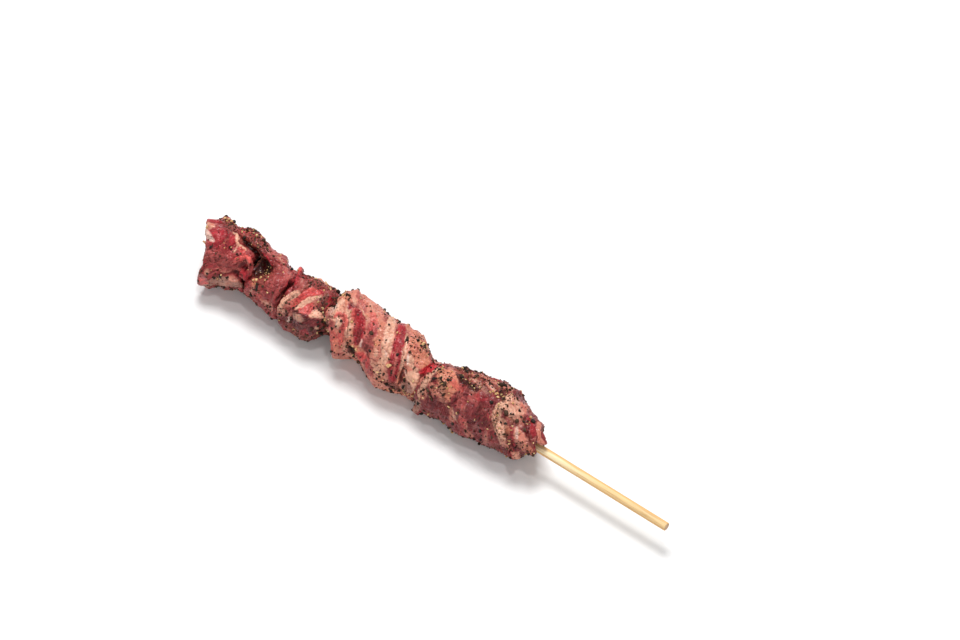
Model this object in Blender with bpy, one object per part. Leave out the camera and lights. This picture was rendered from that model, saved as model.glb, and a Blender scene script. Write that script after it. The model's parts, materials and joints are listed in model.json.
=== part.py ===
"""Raw beef kebab: five folded cuts of beef threaded on a round bamboo stick.

The stick lies along X, its point towards -X and its blunt handle towards +X, a fixed height above
the table at Z = 0. Places on the meat are given in cylindrical form round the stick: the distance
from the stick's point along it, the angle round it (0 faces the front, -Y, and 90 faces up) and
the radius. Lengths in the tables are in millimetres and angles in degrees.
"""

import math
from dataclasses import dataclass, field

import bmesh
import bpy
from mathutils import Vector

MM = 0.001

STICK_LENGTH = 260.0
STICK_RADIUS = 2.0
STICK_HEIGHT = 12.5  # the stick's axis above the table
STICK_SIDES = 24
POINT_LENGTH = 14.0
POINT_RADIUS = 0.35
HANDLE_CHAMFER = 0.25

BORE_RADIUS = STICK_RADIUS + 0.3
CUT_GAP = 0.4  # between the facing ends of two cuts
FLAP_CLEARANCE = 0.4  # round a flap that lies on the next cut
BACK = 149.0  # the side that the heaviest flesh hangs to. FRONT is the side across from it
FRONT = BACK - 180.0

RING_SIDES = 38
RING_SPACING = 2.4
RIM_STEP = 0.4  # of a ring's spacing, from each rim to the ring that rounds it
END_RINGS = 2
SEAM_REACH = 12.0  # the radius at which a cupped seam is back at its centre
FLAP_SIDES = 10
SMOOTH_UNDER = math.radians(50)

WAVES = (  # gentle unevenness of the flesh: (height, wavelength along the stick, waves round it, phase)
    (0.35, 13.0, 3, 0.4),
    (0.28, 8.5, -4, 2.1),
    (0.22, 6.8, 5, 4.0),
)


@dataclass
class Seam:
    """The surface where one cut ends: a tilted, slightly cupped disc across the stick."""

    centre: float
    tilt: float = 0.0
    toward: float = 0.0
    cup: float = 0.0

    def at(self, radius, angle):
        leaned = self.tilt * radius * math.cos(math.radians(angle - self.toward))
        return self.centre + leaned + self.cup * (1 - (radius / SEAM_REACH) ** 2)


@dataclass
class Lobe:
    """A swelling of the flesh, or with a negative height a hollow or crease. Slant leans it along the stick."""

    along: float
    angle: float
    length: float
    arc: float
    height: float
    slant: float = 0.0

    def rise(self, along, angle):
        turn = (angle - self.angle + 180) % 360 - 180
        ahead = (along - self.along - self.slant * turn) / self.length
        return self.height * math.exp(-ahead * ahead - (turn / self.arc) ** 2)


@dataclass
class Flap:
    """A tongue of flesh swept through stations of (along, angle, radius, width, thickness)."""

    name: str
    stations: list
    over: str = ""  # the next cut, where the flap lies on it

    def grown(self, extra):
        wider = [(a, t, r, w + extra, h + extra) for a, t, r, w, h in self.stations]
        return Flap(self.name + "_room", wider)


@dataclass
class Station:
    """The flesh's radius a distance along the stick: on its back and front sides, and at right angles to them."""

    along: float
    back: float
    front: float
    crest: float

    def at(self, angle):
        side = math.radians(angle - BACK)
        across = (self.back + self.front) / 2
        lean = (self.back - self.front) / 2
        oval = (across - self.crest) / 2
        return (across + self.crest) / 2 + lean * math.cos(side) + oval * math.cos(2 * side)


@dataclass
class Cut:
    """One cut of beef between two seams. A rim is the share of the radius left where the flank meets an end."""

    name: str
    near: Seam
    far: Seam
    near_rim: float
    far_rim: float
    near_round: float
    far_round: float
    colour: tuple
    stations: list
    lobes: list = field(default_factory=list)
    flaps: list = field(default_factory=list)

    def radius_at(self, along, angle):
        for low, high in zip(self.stations, self.stations[1:]):
            if along <= high.along:
                break
        share = eased((along - low.along) / (high.along - low.along))
        radius = mix(low.at(angle), high.at(angle), share) + uneven(along, angle)
        return radius + sum(lobe.rise(along, angle) for lobe in self.lobes)


LEAN_RED = (0.33, 0.05, 0.055)
BRIGHT_RED = (0.42, 0.085, 0.08)
PALE_FAT = (0.66, 0.33, 0.25)
BAMBOO = (0.78, 0.55, 0.24)

TIP_END = Seam(6.3, tilt=0.38, toward=-22)
FOLD_TO_FLAP = Seam(31.0, tilt=0.08, toward=60, cup=-1.5)
FLAP_TO_CUBE = Seam(50.5, tilt=0.1, toward=60, cup=1.0)
CUBE_END = Seam(73.8, tilt=0.2, toward=-30, cup=2.5)
WRAP_START = Seam(78.5, tilt=0.42, toward=-40)
WRAP_TO_ROLL = Seam(128.3, tilt=0.05, toward=110, cup=-1.0)
HANDLE_END = Seam(182.5, tilt=0.12, toward=110, cup=3.0)

TIP_FOLD = Cut(
    "beef_tip_fold", TIP_END, FOLD_TO_FLAP,
    near_rim=0.84, far_rim=0.8, near_round=2.4, far_round=3.0, colour=LEAN_RED,
    stations=[
        Station(2.0, 15.2, 15.0, 14.0),
        Station(9.0, 15.2, 17.6, 14.8),
        Station(14.0, 14.4, 16.4, 15.2),
        Station(20.0, 13.6, 13.5, 15.2),
        Station(31.0, 12.6, 10.5, 14.2),
    ],
    lobes=[
        Lobe(11.5, -33, 3.5, 12, 1.2),  # low corner that hangs in front
        Lobe(25.0, 30, 8.0, 13, -1.5),  # fat slab under the fold
        Lobe(26.5, 8, 9.0, 16, 1.0),
        Lobe(28.5, 40, 4.0, 8, -1.8),
        Lobe(12.5, 85, 3.2, 18, 1.5),
        Lobe(18.0, 80, 3.2, 17, 1.2),
        Lobe(15.2, 80, 1.6, 24, -1.5),
        Lobe(22.5, 88, 2.4, 16, -1.3),
        Lobe(5.0, 118, 4.0, 16, -1.2),
        Lobe(6.0, 143, 4.5, 16, 1.4),
        Lobe(30.0, 61, 2.2, 9, -1.4),  # hollow in the rolled lip
        Lobe(20.0, 205, 7.0, 25, 2.0),
        Lobe(13.0, 230, 2.6, 40, -1.8, slant=0.08),
        Lobe(9.0, 255, 5.0, 30, 1.0),
        Lobe(22.0, 285, 5.0, 22, -1.0),
    ],
    flaps=[
        Flap("tab", [(7.0, 128, 11.0, 8.0, 5.0), (5.6, 138, 13.6, 7.5, 4.2), (5.0, 147, 15.0, 5.0, 2.6)]),
        Flap("lip", [(23.8, 60, 13.8, 2.8, 2.8), (26.2, 69, 14.6, 3.6, 3.6), (29.8, 78, 14.4, 4.4, 4.4),
                     (33.2, 74, 13.9, 4.2, 4.4), (34.4, 60, 13.5, 4.0, 4.2), (32.4, 46, 13.0, 3.8, 3.8),
                     (28.8, 43, 13.0, 3.0, 2.8)], over="beef_arched_flap"),
    ],
)

ARCHED_FLAP = Cut(
    "beef_arched_flap", FOLD_TO_FLAP, FLAP_TO_CUBE,
    near_rim=0.8, far_rim=0.86, near_round=2.5, far_round=2.2, colour=LEAN_RED,
    stations=[
        Station(31.0, 13.0, 10.6, 13.4),
        Station(36.0, 14.0, 11.0, 13.6),
        Station(39.5, 13.0, 11.5, 13.4),
        Station(43.0, 10.6, 12.3, 13.2),
        Station(50.5, 10.8, 13.0, 13.2),
    ],
    lobes=[
        Lobe(35.0, 80, 5.4, 27, -7.5),  # pit under the arch
        Lobe(43.5, 62, 5.0, 35, 1.2),
        Lobe(38.0, 32, 4.0, 14, 1.0),
        Lobe(44.0, 20, 2.5, 16, -0.8),
        Lobe(42.0, 205, 6.0, 30, 2.2),
        Lobe(37.0, 235, 2.4, 40, -1.8, slant=-0.07),
        Lobe(45.0, 265, 6.0, 25, 1.2),
    ],
    flaps=[
        Flap("tongue", [(42.0, 118, 9.5, 10.0, 5.5), (37.5, 122, 12.4, 14.5, 5.6), (31.0, 127, 14.2, 17.0, 5.2),
                        (24.0, 130, 14.8, 17.0, 4.8), (17.5, 131, 14.2, 14.0, 4.2), (13.5, 131, 12.8, 8.0, 2.8)],
             over="beef_tip_fold"),
        Flap("torn_edge", [(40.5, 108, 10.0, 4.5, 3.4), (39.8, 130, 12.8, 5.0, 3.2), (38.6, 150, 14.4, 4.0, 2.2)]),
    ],
)

STRIPED_CUBE = Cut(
    "beef_striped_cube", FLAP_TO_CUBE, CUBE_END,
    near_rim=0.86, far_rim=0.66, near_round=2.4, far_round=5.0, colour=BRIGHT_RED,
    stations=[
        Station(50.5, 12.4, 13.6, 13.2),
        Station(54.0, 13.6, 15.0, 13.4),
        Station(60.0, 14.8, 14.3, 13.6),
        Station(66.0, 13.8, 14.8, 13.2),
        Station(71.5, 13.0, 12.6, 12.4),
        Station(77.0, 11.5, 10.5, 11.5),
    ],
    lobes=[
        Lobe(64.0, 36, 9.0, 12, 1.6),  # square front edge
        Lobe(62.0, 5, 9.0, 16, -0.8),
        Lobe(64.0, 66, 6.0, 12, -0.6),
        Lobe(59.5, 96, 4.0, 22, 0.9),
        Lobe(68.0, 125, 4.0, 18, -1.0),
        Lobe(55.6, 62, 1.8, 34, -0.9, slant=-0.09),
        Lobe(58.0, 205, 6.0, 28, 1.8),
        Lobe(65.0, 185, 2.2, 40, -1.6, slant=0.06),
        Lobe(66.0, 255, 6.0, 28, 1.3),
    ],
    flaps=[
        Flap("spike", [(54.2, 78, 11.4, 2.6, 3.4), (52.6, 104, 12.6, 3.0, 3.0), (50.4, 128, 13.2, 3.2, 2.6),
                       (48.4, 146, 13.8, 2.4, 1.8)], over="beef_arched_flap"),
    ],
)

FAT_STRIPED_WRAP = Cut(
    "beef_fat_striped_wrap", WRAP_START, WRAP_TO_ROLL,
    near_rim=0.84, far_rim=0.8, near_round=3.0, far_round=3.0, colour=PALE_FAT,
    stations=[
        Station(73.0, 17.2, 13.2, 14.2),
        Station(80.0, 18.2, 13.8, 15.2),
        Station(85.5, 18.0, 14.6, 15.4),
        Station(91.5, 17.0, 10.0, 15.0),
        Station(97.0, 16.8, 12.0, 15.0),
        Station(106.0, 16.9, 14.9, 14.9),
        Station(114.0, 15.8, 13.8, 14.6),
        Station(119.0, 13.6, 12.4, 13.8),
        Station(129.0, 10.8, 11.6, 12.9),
    ],
    lobes=[
        Lobe(90.2, 76, 2.2, 34, -2.3, slant=-0.16),  # furrows that wind round the stick
        Lobe(99.5, 59, 2.0, 48, -1.4, slant=-0.13),
        Lobe(112.4, 66, 2.2, 55, -1.2, slant=-0.13),
        Lobe(121.5, 40, 2.0, 32, -2.6, slant=-0.05),
        Lobe(82.0, 58, 2.6, 22, 1.2, slant=-0.1),
        Lobe(84.8, 42, 1.6, 16, -1.3, slant=-0.1),
        Lobe(95.0, 88, 3.2, 30, 1.0, slant=-0.13),
        Lobe(106.0, 66, 4.0, 60, 0.8, slant=-0.13),
        Lobe(118.5, 96, 5.0, 26, 1.4),
        Lobe(125.0, 18, 3.5, 20, 0.9),
        Lobe(86.0, 200, 6.0, 30, 1.2),
        Lobe(95.0, 205, 2.4, 50, -2.0, slant=-0.12),
        Lobe(108.0, 215, 2.4, 55, -1.7, slant=-0.12),
        Lobe(101.0, 235, 5.0, 35, 1.0),
        Lobe(118.0, 240, 6.0, 30, 1.2),
        Lobe(88.0, 262, 8.0, 25, 0.8),
    ],
    flaps=[
        Flap("ear", [(79.5, 118, 13.5, 6.0, 3.4), (77.8, 136, 15.8, 5.4, 2.8), (76.9, 149, 17.8, 3.0, 1.6)]),
        Flap("inner_lobe", [(76.0, 82, 12.0, 6.0, 5.0), (77.5, 66, 13.2, 6.4, 5.4), (80.5, 48, 13.0, 6.0, 5.0),
                            (83.5, 30, 12.0, 4.5, 3.6)]),
    ],
)

HANDLE_ROLL = Cut(
    "beef_handle_roll", WRAP_TO_ROLL, HANDLE_END,
    near_rim=0.82, far_rim=0.62, near_round=3.2, far_round=5.0, colour=BRIGHT_RED,
    stations=[
        Station(129.0, 11.6, 12.8, 13.4),
        Station(135.0, 13.5, 13.4, 14.4),
        Station(141.0, 16.0, 12.6, 14.6),
        Station(149.0, 16.6, 13.0, 14.6),
        Station(153.0, 17.4, 14.3, 14.5),
        Station(161.0, 18.3, 11.7, 14.3),
        Station(168.0, 18.0, 11.7, 14.4),
        Station(173.0, 15.3, 11.4, 14.0),
        Station(180.0, 12.0, 11.0, 12.2),
        Station(186.0, 9.0, 8.0, 9.0),
    ],
    lobes=[
        Lobe(154.0, 104, 14.0, 9, -1.8),  # trough along the top
        Lobe(137.0, 75, 6.0, 26, 0.9),
        Lobe(142.0, 50, 2.2, 26, -0.9, slant=-0.14),
        Lobe(168.0, 84, 6.5, 32, 1.4),
        Lobe(175.5, 56, 1.8, 22, -2.6, slant=-0.24),
        Lobe(168.6, 66, 1.8, 36, -1.2, slant=-0.15),
        Lobe(149.0, 58, 2.0, 24, -1.2),
        Lobe(139.0, 28, 8.0, 10, -0.9),
        Lobe(152.0, 22, 8.0, 14, -0.7),
        Lobe(160.0, 48, 8.0, 16, 0.7),
        Lobe(148.0, 205, 8.0, 30, 1.4),
        Lobe(158.0, 195, 2.4, 50, -1.9, slant=0.11),
        Lobe(169.0, 215, 8.0, 30, 1.6),
        Lobe(142.0, 240, 2.6, 40, -1.2, slant=-0.1),
        Lobe(156.0, 262, 12.0, 28, 0.8),
    ],
    flaps=[
        Flap("low_tab", [(132.5, -12, 10.5, 5.0, 3.6), (131.2, -24, 12.6, 4.8, 3.4), (130.2, -33, 15.4, 4.2, 2.6)]),
        Flap("end_fold", [(178.0, 104, 8.2, 9.0, 7.0), (182.6, 80, 8.6, 10.5, 7.6), (186.8, 55, 7.6, 9.5, 7.4),
                          (189.8, 36, 6.4, 6.5, 5.6), (191.2, 30, 6.0, 3.5, 3.0)]),
        Flap("nub", [(179.5, 32, 8.8, 4.8, 4.6), (181.2, 16, 10.8, 5.0, 4.6), (182.0, 2, 12.4, 4.2, 3.8)]),
        Flap("back_flap", [(181.0, 128, 9.5, 10.0, 5.0), (186.0, 122, 9.4, 9.5, 4.4), (189.8, 112, 7.8, 7.0, 3.4),
                           (192.6, 100, 6.0, 3.6, 2.0)]),
    ],
)

CUTS = (TIP_FOLD, ARCHED_FLAP, STRIPED_CUBE, FAT_STRIPED_WRAP, HANDLE_ROLL)


def mix(start, end, share):
    return start + (end - start) * share


def eased(share):
    """The share, levelled off at 0 and at 1."""
    held = min(1.0, max(0.0, share))
    return held * held * (3 - 2 * held)


def uneven(along, angle):
    total = 0.0
    for height, length, turns, phase in WAVES:
        total += height * math.sin(2 * math.pi * along / length + turns * math.radians(angle) + phase)
    return total


def place(along, angle, radius):
    """The point at that distance along the stick, angle round it and radius, lying on the table at the lowest."""
    turn = math.radians(angle)
    height = max(0.0, STICK_HEIGHT + radius * math.sin(turn))
    return Vector((along - STICK_LENGTH / 2, -radius * math.cos(turn), height)) * MM


def material(name, colour, roughness):
    made = bpy.data.materials.get(name) or bpy.data.materials.new(name)
    made.use_nodes = True
    shader = made.node_tree.nodes["Principled BSDF"]
    shader.inputs["Base Color"].default_value = (*colour, 1.0)
    shader.inputs["Roughness"].default_value = roughness
    shader.inputs["Metallic"].default_value = 0.0
    return made


def ring_of_rings(name, rings, joined):
    """An object skinned over rings of points. Joined closes the last ring on the first, and otherwise both are capped."""
    mesh = bpy.data.meshes.new(name)
    bm = bmesh.new()
    made = [[bm.verts.new(point) for point in ring] for ring in rings]
    pairs = list(zip(made, made[1:]))
    if joined:
        pairs.append((made[-1], made[0]))
    for low, high in pairs:
        for i in range(len(low)):
            j = (i + 1) % len(low)
            bm.faces.new((low[i], low[j], high[j], high[i]))
    if not joined:
        bm.faces.new(made[0])
        bm.faces.new(made[-1])
    bmesh.ops.recalc_face_normals(bm, faces=bm.faces)
    bm.to_mesh(mesh)
    bm.free()
    mesh.shade_smooth()
    mesh.set_sharp_from_angle(angle=SMOOTH_UNDER)
    made_object = bpy.data.objects.new(name, mesh)
    bpy.context.scene.collection.objects.link(made_object)
    return made_object


def rounded(share, rim):
    """A quarter ellipse: the share of the full radius at that share of the way in from the rim."""
    inward = min(1.0, max(0.0, share))
    return rim + (1 - rim) * math.sqrt(1 - (1 - inward) ** 2)


def rim_of(cut, seam, rim, side, angle):
    """(along, radius) of the rim where the cut's flank meets its end. Side is 1 at the near end and -1 at the far one."""
    along = seam.centre
    for _ in range(5):
        radius = cut.radius_at(along, angle) * rim
        along = seam.at(radius, angle) + side * CUT_GAP / 2
    return along, radius


def flesh(cut):
    """The cut's closed flesh: flank, both ends and the bore that the stick runs through."""
    angles = [360 * i / RING_SIDES for i in range(RING_SIDES)]
    near = {a: rim_of(cut, cut.near, cut.near_rim, 1, a) for a in angles}
    far = {a: rim_of(cut, cut.far, cut.far_rim, -1, a) for a in angles}
    spans = round((cut.far.centre - cut.near.centre) / RING_SPACING)
    shares = [0, RIM_STEP / spans] + [i / spans for i in range(1, spans)] + [1 - RIM_STEP / spans, 1]
    rings = []
    for share in shares:
        ring = []
        for a in angles:
            along = mix(near[a][0], far[a][0], share)
            radius = cut.radius_at(along, a)
            radius *= rounded((along - near[a][0]) / cut.near_round, cut.near_rim)
            radius *= rounded((far[a][0] - along) / cut.far_round, cut.far_rim)
            ring.append(place(along, a, radius))
        rings.append(ring)
    for seam, rims, side, order in ((cut.far, far, -1, 1), (cut.near, near, 1, -1)):
        end = []
        for k in range(1, END_RINGS + 1):
            ring = []
            for a in angles:
                radius = mix(rims[a][1], BORE_RADIUS, k / END_RINGS)
                ring.append(place(seam.at(radius, a) + side * CUT_GAP / 2, a, radius))
            end.append(ring)
        rings += end[::order]
    return ring_of_rings(cut.name, rings, joined=True)


def swept(flap):
    """A tongue with oval sections across its stations, narrowed to blunt tips."""
    places = [place(a, t, r) for a, t, r, _, _ in flap.stations]
    rings = []
    for i, (_, angle, _, width, thickness) in enumerate(flap.stations):
        before, after = places[max(0, i - 1)], places[min(len(places) - 1, i + 1)]
        heading = (after - before).normalized()
        turn = math.radians(angle)
        outward = Vector((0, -math.cos(turn), math.sin(turn)))
        across = heading.cross(outward).normalized()
        up = across.cross(heading).normalized()
        ring = []
        for k in range(FLAP_SIDES):
            round_it = 2 * math.pi * k / FLAP_SIDES
            offset = across * (width * math.cos(round_it)) + up * (thickness * math.sin(round_it))
            point = places[i] + offset * (MM / 2)
            point.z = max(point.z, 0.0)
            ring.append(point)
        rings.append(ring)
    return ring_of_rings(flap.name, rings, joined=False)


def helper(made):
    made.hide_render = True
    made.display_type = "WIRE"
    return made


def boolean(target, other, operation):
    step = target.modifiers.new(f"{operation.lower()}_{other.name}", "BOOLEAN")
    step.operation = operation
    step.object = other
    step.solver = "EXACT"


def build_cuts():
    made = {cut.name: flesh(cut) for cut in CUTS}
    for cut in CUTS:
        target = made[cut.name]
        target.data.materials.append(material(cut.name, cut.colour, 0.4))
        for flap in cut.flaps:
            boolean(target, helper(swept(flap)), "UNION")
            if flap.over:
                boolean(made[flap.over], helper(swept(flap.grown(FLAP_CLEARANCE * 2))), "DIFFERENCE")
    return list(made.values())


def build_stick():
    """The round bamboo stick: a long point, a straight shaft and a square-cut handle with a broken edge."""
    profile = [
        (0.0, POINT_RADIUS),
        (POINT_LENGTH * 0.45, mix(POINT_RADIUS, STICK_RADIUS, 0.55)),
        (POINT_LENGTH, STICK_RADIUS),
        (STICK_LENGTH / 2, STICK_RADIUS),
        (STICK_LENGTH - HANDLE_CHAMFER, STICK_RADIUS),
        (STICK_LENGTH, STICK_RADIUS - HANDLE_CHAMFER),
    ]
    angles = [360 * i / STICK_SIDES for i in range(STICK_SIDES)]
    rings = [[place(along, a, radius) for a in angles] for along, radius in profile]
    stick = ring_of_rings("bamboo_stick", rings, joined=False)
    stick.data.materials.append(material("bamboo", BAMBOO, 0.5))
    return stick


def centre_across(pieces, carrier):
    """Shifts the carrier so that the whole kebab's box is centred on the origin across the stick."""
    graph = bpy.context.evaluated_depsgraph_get()
    sides = []
    for piece in pieces:
        mesh = piece.evaluated_get(graph).to_mesh()
        sides += [vertex.co.y for vertex in mesh.vertices]
    carrier.location.y = -(min(sides) + max(sides)) / 2


def main():
    for old in list(bpy.data.objects):
        bpy.data.objects.remove(old)
    carrier = bpy.data.objects.new("kebab", None)
    bpy.context.scene.collection.objects.link(carrier)
    pieces = build_cuts() + [build_stick()]
    for other in list(bpy.data.objects):
        if other is not carrier:
            other.parent = carrier
    centre_across(pieces, carrier)


main()
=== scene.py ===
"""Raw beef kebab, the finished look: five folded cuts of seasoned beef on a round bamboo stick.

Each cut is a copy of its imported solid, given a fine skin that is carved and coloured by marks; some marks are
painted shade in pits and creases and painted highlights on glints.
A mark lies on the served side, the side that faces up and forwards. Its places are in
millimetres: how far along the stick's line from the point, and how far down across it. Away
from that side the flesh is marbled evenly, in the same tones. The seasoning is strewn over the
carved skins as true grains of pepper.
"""

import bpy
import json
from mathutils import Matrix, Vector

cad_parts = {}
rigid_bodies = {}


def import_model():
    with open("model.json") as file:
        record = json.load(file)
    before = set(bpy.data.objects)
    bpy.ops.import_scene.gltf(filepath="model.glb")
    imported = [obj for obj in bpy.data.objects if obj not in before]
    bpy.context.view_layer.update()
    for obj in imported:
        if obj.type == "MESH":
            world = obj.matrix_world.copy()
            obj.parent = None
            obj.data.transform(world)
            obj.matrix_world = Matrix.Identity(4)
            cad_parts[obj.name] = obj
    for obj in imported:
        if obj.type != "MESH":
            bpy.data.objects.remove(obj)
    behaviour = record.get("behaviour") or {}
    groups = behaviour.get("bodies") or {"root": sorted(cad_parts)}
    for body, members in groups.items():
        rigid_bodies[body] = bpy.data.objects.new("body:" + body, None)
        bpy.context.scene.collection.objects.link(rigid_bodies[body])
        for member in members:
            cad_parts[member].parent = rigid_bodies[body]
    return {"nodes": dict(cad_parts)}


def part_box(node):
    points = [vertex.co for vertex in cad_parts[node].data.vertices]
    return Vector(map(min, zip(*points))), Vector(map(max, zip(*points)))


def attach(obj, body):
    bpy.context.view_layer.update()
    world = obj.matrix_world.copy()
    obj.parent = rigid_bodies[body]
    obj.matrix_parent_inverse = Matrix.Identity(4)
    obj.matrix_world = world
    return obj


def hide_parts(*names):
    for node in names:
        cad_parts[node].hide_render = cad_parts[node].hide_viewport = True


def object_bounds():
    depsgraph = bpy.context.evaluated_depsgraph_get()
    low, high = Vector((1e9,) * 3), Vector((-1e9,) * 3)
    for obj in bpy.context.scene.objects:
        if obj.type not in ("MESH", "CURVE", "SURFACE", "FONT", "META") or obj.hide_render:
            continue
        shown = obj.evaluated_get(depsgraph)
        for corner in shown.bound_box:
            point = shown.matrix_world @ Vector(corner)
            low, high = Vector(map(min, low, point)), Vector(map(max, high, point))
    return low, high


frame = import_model()
CAD_BOX = [list(corner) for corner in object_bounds()]

import json
import math
from dataclasses import dataclass, field

import bpy
import numpy as np
from bpy.props import FloatProperty, FloatVectorProperty, IntProperty, PointerProperty
from bpy.types import Operator, Panel, PropertyGroup
from mathutils import Matrix, Vector
from mathutils.bvhtree import BVHTree

bl_info = {
    "name": "Raw beef kebab",
    "version": (1, 0, 0),
    "blender": (4, 5, 0),
    "location": "3D View > Sidebar > Kebab",
    "description": "Builds a seasoned raw beef kebab on its bamboo stick",
    "category": "Object",
}

MM = 0.001
STICK_LOW, STICK_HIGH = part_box("bamboo_stick")
STICK_POINT = Vector((STICK_LOW.x, (STICK_LOW.y + STICK_HIGH.y) / 2, (STICK_LOW.z + STICK_HIGH.z) / 2))
STICK_LENGTH = STICK_HIGH.x - STICK_LOW.x
STICK_RADIUS = (STICK_HIGH.z - STICK_LOW.z) / 2

SERVED_TURN = math.radians(37.5)
SERVED_RISE = math.radians(53)
SERVED = Vector((
    math.cos(SERVED_RISE) * math.sin(SERVED_TURN),
    -math.cos(SERVED_RISE) * math.cos(SERVED_TURN),
    math.sin(SERVED_RISE),
))
ALONG = (Vector((1, 0, 0)) - SERVED * SERVED.x).normalized()
DOWN = ALONG.cross(SERVED)

BORE = 2.7  # flesh this near the stick's axis grips the stick
GRIP = 1.9
FLOOR_FADE = 2.0  # the relief dies out this near the table
BOX_SLACK = 0.6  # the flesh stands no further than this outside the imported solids
TAPER = 0.5  # how much narrower a mark is at its ends


@dataclass
class Mark:
    """A band of tone, relief or seasoning along a line on the served side, or a push of the flesh there."""

    kind: str
    width: float
    points: tuple
    amount: float
    tone: str = ""
    way: tuple = (0.0, 0.0)


def paint(tone, width, *points, strength=1.0):
    return Mark("paint", width, points, strength, tone)


# A negative height sinks a groove, which also gets painted shade.
def relief(height, width, *points):
    return Mark("relief", width, points, height)


def fold(height, width, *points):
    """A lip: the flesh on the right of the line, going along it, stands out over the flesh on its left, where shade is
    painted.
    """
    return Mark("fold", width, points, height)


def season(amount, width, *points):
    return Mark("season", width, points, amount)


def push(along, down, width, *points):
    """Moves the flesh all through the body, so that its outline moves too."""
    return Mark("push", width, points, 1.0, way=(along, down))


@dataclass
class Cut:
    """How one cut of beef looks: its own tones, its share of fat, its marks, and the way (along, down)
    that its sheets of muscle are stacked, so that fibres and fat run across that way.
    """

    node: str
    tones: tuple
    fat: float
    stacked: tuple
    seed: int
    marks: list = field(default_factory=list)


# Marks in the near-black red tone are painted shade: in pits, creases, under lips and on lower faces where shade
# falls.
TIP_FOLD = Cut("beef_tip_fold", ("lean", "crimson", "light_lean"), 0.25, (0.7, 0.6), 11, [
    push(-2.3, 1.2, 5, (0.5, -11), (2, -6)),
    push(-1.4, 5.0, 6, (8.8, 12.5)),
    push(0, -1.3, 5, (15.5, 14)),
    push(0.6, 1.4, 5, (5, -16), (10, -16)),
    push(0.4, 0, 4, (4, 5), (5, 8)),
    push(-1.4, 1.8, 7, (21, -9.5), (26, -6)),
    push(-1.5, 0.4, 6, (28, -2), (28.3, 2)),
    push(-1.4, 0.2, 4, (0, -10.6)),
    push(0.7, 1.2, 4, (0.6, -14.2)),
    push(-0.8, 0.2, 5, (4, 0), (4.8, 3)),
    push(0, -1.2, 6, (24, 12.5)),
    paint("orange_fat", 3.4, (1.8, -9.8), (2, -8)),
    paint("cream_fat", 3.4, (1.2, -9.5), (1.4, -6.8), strength=0.7),
    paint("pink_fat", 1.4, (-1.2, -10), (0, -7), (1, -5)),
    paint("white_fat", 3.6, (1.2, -5.8), (2.6, -4.2), (4, -2.8), strength=0.85),
    paint("light_lean", 2.5, (3, -1), (4.5, 2), strength=0.6),
    paint("crimson", 4.4, (6, -7.5), (6.3, -3.8)),
    # A thin pale streak along the bulge: painted highlight.
    paint("light_lean", 1.2, (5.3, -6.5), (6.3, -2.8), strength=0.3),
    paint("crimson", 4.5, (10.5, -9.5), (11.5, -5)),
    paint("purple", 2.5, (10, -6), (9.5, -1.5), strength=0.5),
    paint("lean", 7, (10, 0), (14, 2), strength=0.7),
    paint("light_lean", 6, (10, 1.5), (14, 3), strength=0.5),
    paint("light_lean", 2.2, (13.5, -2), (15, 2), strength=0.4),
    paint("bright", 3.6, (16.5, -6), (20, -6), strength=0.7),
    paint("crimson", 4, (21.5, 1.5), (24, -1)),
    paint("crimson", 3.5, (23, 3.5), (27, 2.5)),
    paint("painted_shade", 1.8, (20.3, 1.5), (22, -1.5), strength=0.6),
    paint("bright", 1.8, (17, 1.5), (18.5, -2), (20.5, -4.3), (23.5, -5), (25.8, -3.6), strength=0.7),
    paint("light_lean", 3, (12.5, 5.5), (16, 5), strength=0.7),
    paint("pink_fat", 1.2, (12.3, 7.3), (15.5, 6.6), (18, 5), strength=0.6),
    # The dull fat of this slab is partly painted shade.
    paint("shaded_dull_fat", 5.4, (12, 15.4), (15.4, 12), (20, 9.4), (25, 8.2)),
    paint("cream_fat", 2, (17, 12.4), (20.5, 10), strength=0.35),
    paint("pink_fat", 2.6, (18.5, 7.4), (23, 7), strength=0.6),
    paint("cream_fat", 1.2, (8.7, 8.6), (10.5, 9.5), strength=0.6),
    paint("bright", 5, (9.8, 12.2), (9.6, 15)),
    paint("lean", 3, (7, 5), (8, 9), strength=0.7),
    paint("brown", 3.4, (3.5, -13.8), (9, -13.3), (13.5, -12)),
    paint("painted_shade", 2.4, (22.5, -10.4), (27.5, -7.6), (29.4, -3), (29.6, 2), strength=0.9),
    paint("cream_fat", 1.4, (9.6, -10.4), (11.6, -10.1), (13, -8.8), (14.2, -7.5), (17, -7.4), (20.2, -8.6)),
    paint("cream_fat", 0.8, (14.2, -7.5), (15, -5), (15.1, -2.6)),
    relief(-0.7, 1.0, (8.3, -9.5), (8.6, -6), (8, -3)),
    relief(0.9, 3.2, (6, -7.3), (6.2, -4)),
    relief(0.7, 3.4, (11.3, -8.5), (11.6, -5)),
    relief(0.6, 1.1, (9.6, -10.4), (11.6, -10.1), (13, -8.8), (14.2, -7.5), (17, -7.4), (20.2, -8.6)),
    relief(0.35, 0.8, (14.2, -7.5), (15, -5), (15.1, -2.6)),
    relief(0.8, 1.8, (17, 1.5), (18.5, -2), (20.5, -4.3), (23.5, -5), (25.8, -3.6)),
    relief(-1.1, 2, (22, 0.8), (24.5, -0.6)),
    relief(-0.9, 1.1, (19.3, 4.6), (22, 4.1), (24.6, 4.8), (27, 7)),
    fold(0.6, 2.5, (18.5, 5.2), (15.5, 6.8), (12.3, 7.6)),
    relief(-0.8, 1.3, (3.5, -11.8), (9, -11.3)),
    relief(0.5, 3, (17, 9.5), (22, 8)),
    season(1.0, 4, (3, -14.3), (9, -14)),
    season(0.9, 3, (10, -12.5), (16, -13)),
    season(0.9, 2.6, (6, 5), (7, 10)),
    season(0.6, 4, (12, 10.5), (17, 9)),
    season(0.5, 4, (4, -1), (9, 2)),
    season(0.55, 4, (12, -4), (19, -1)),
])

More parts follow.
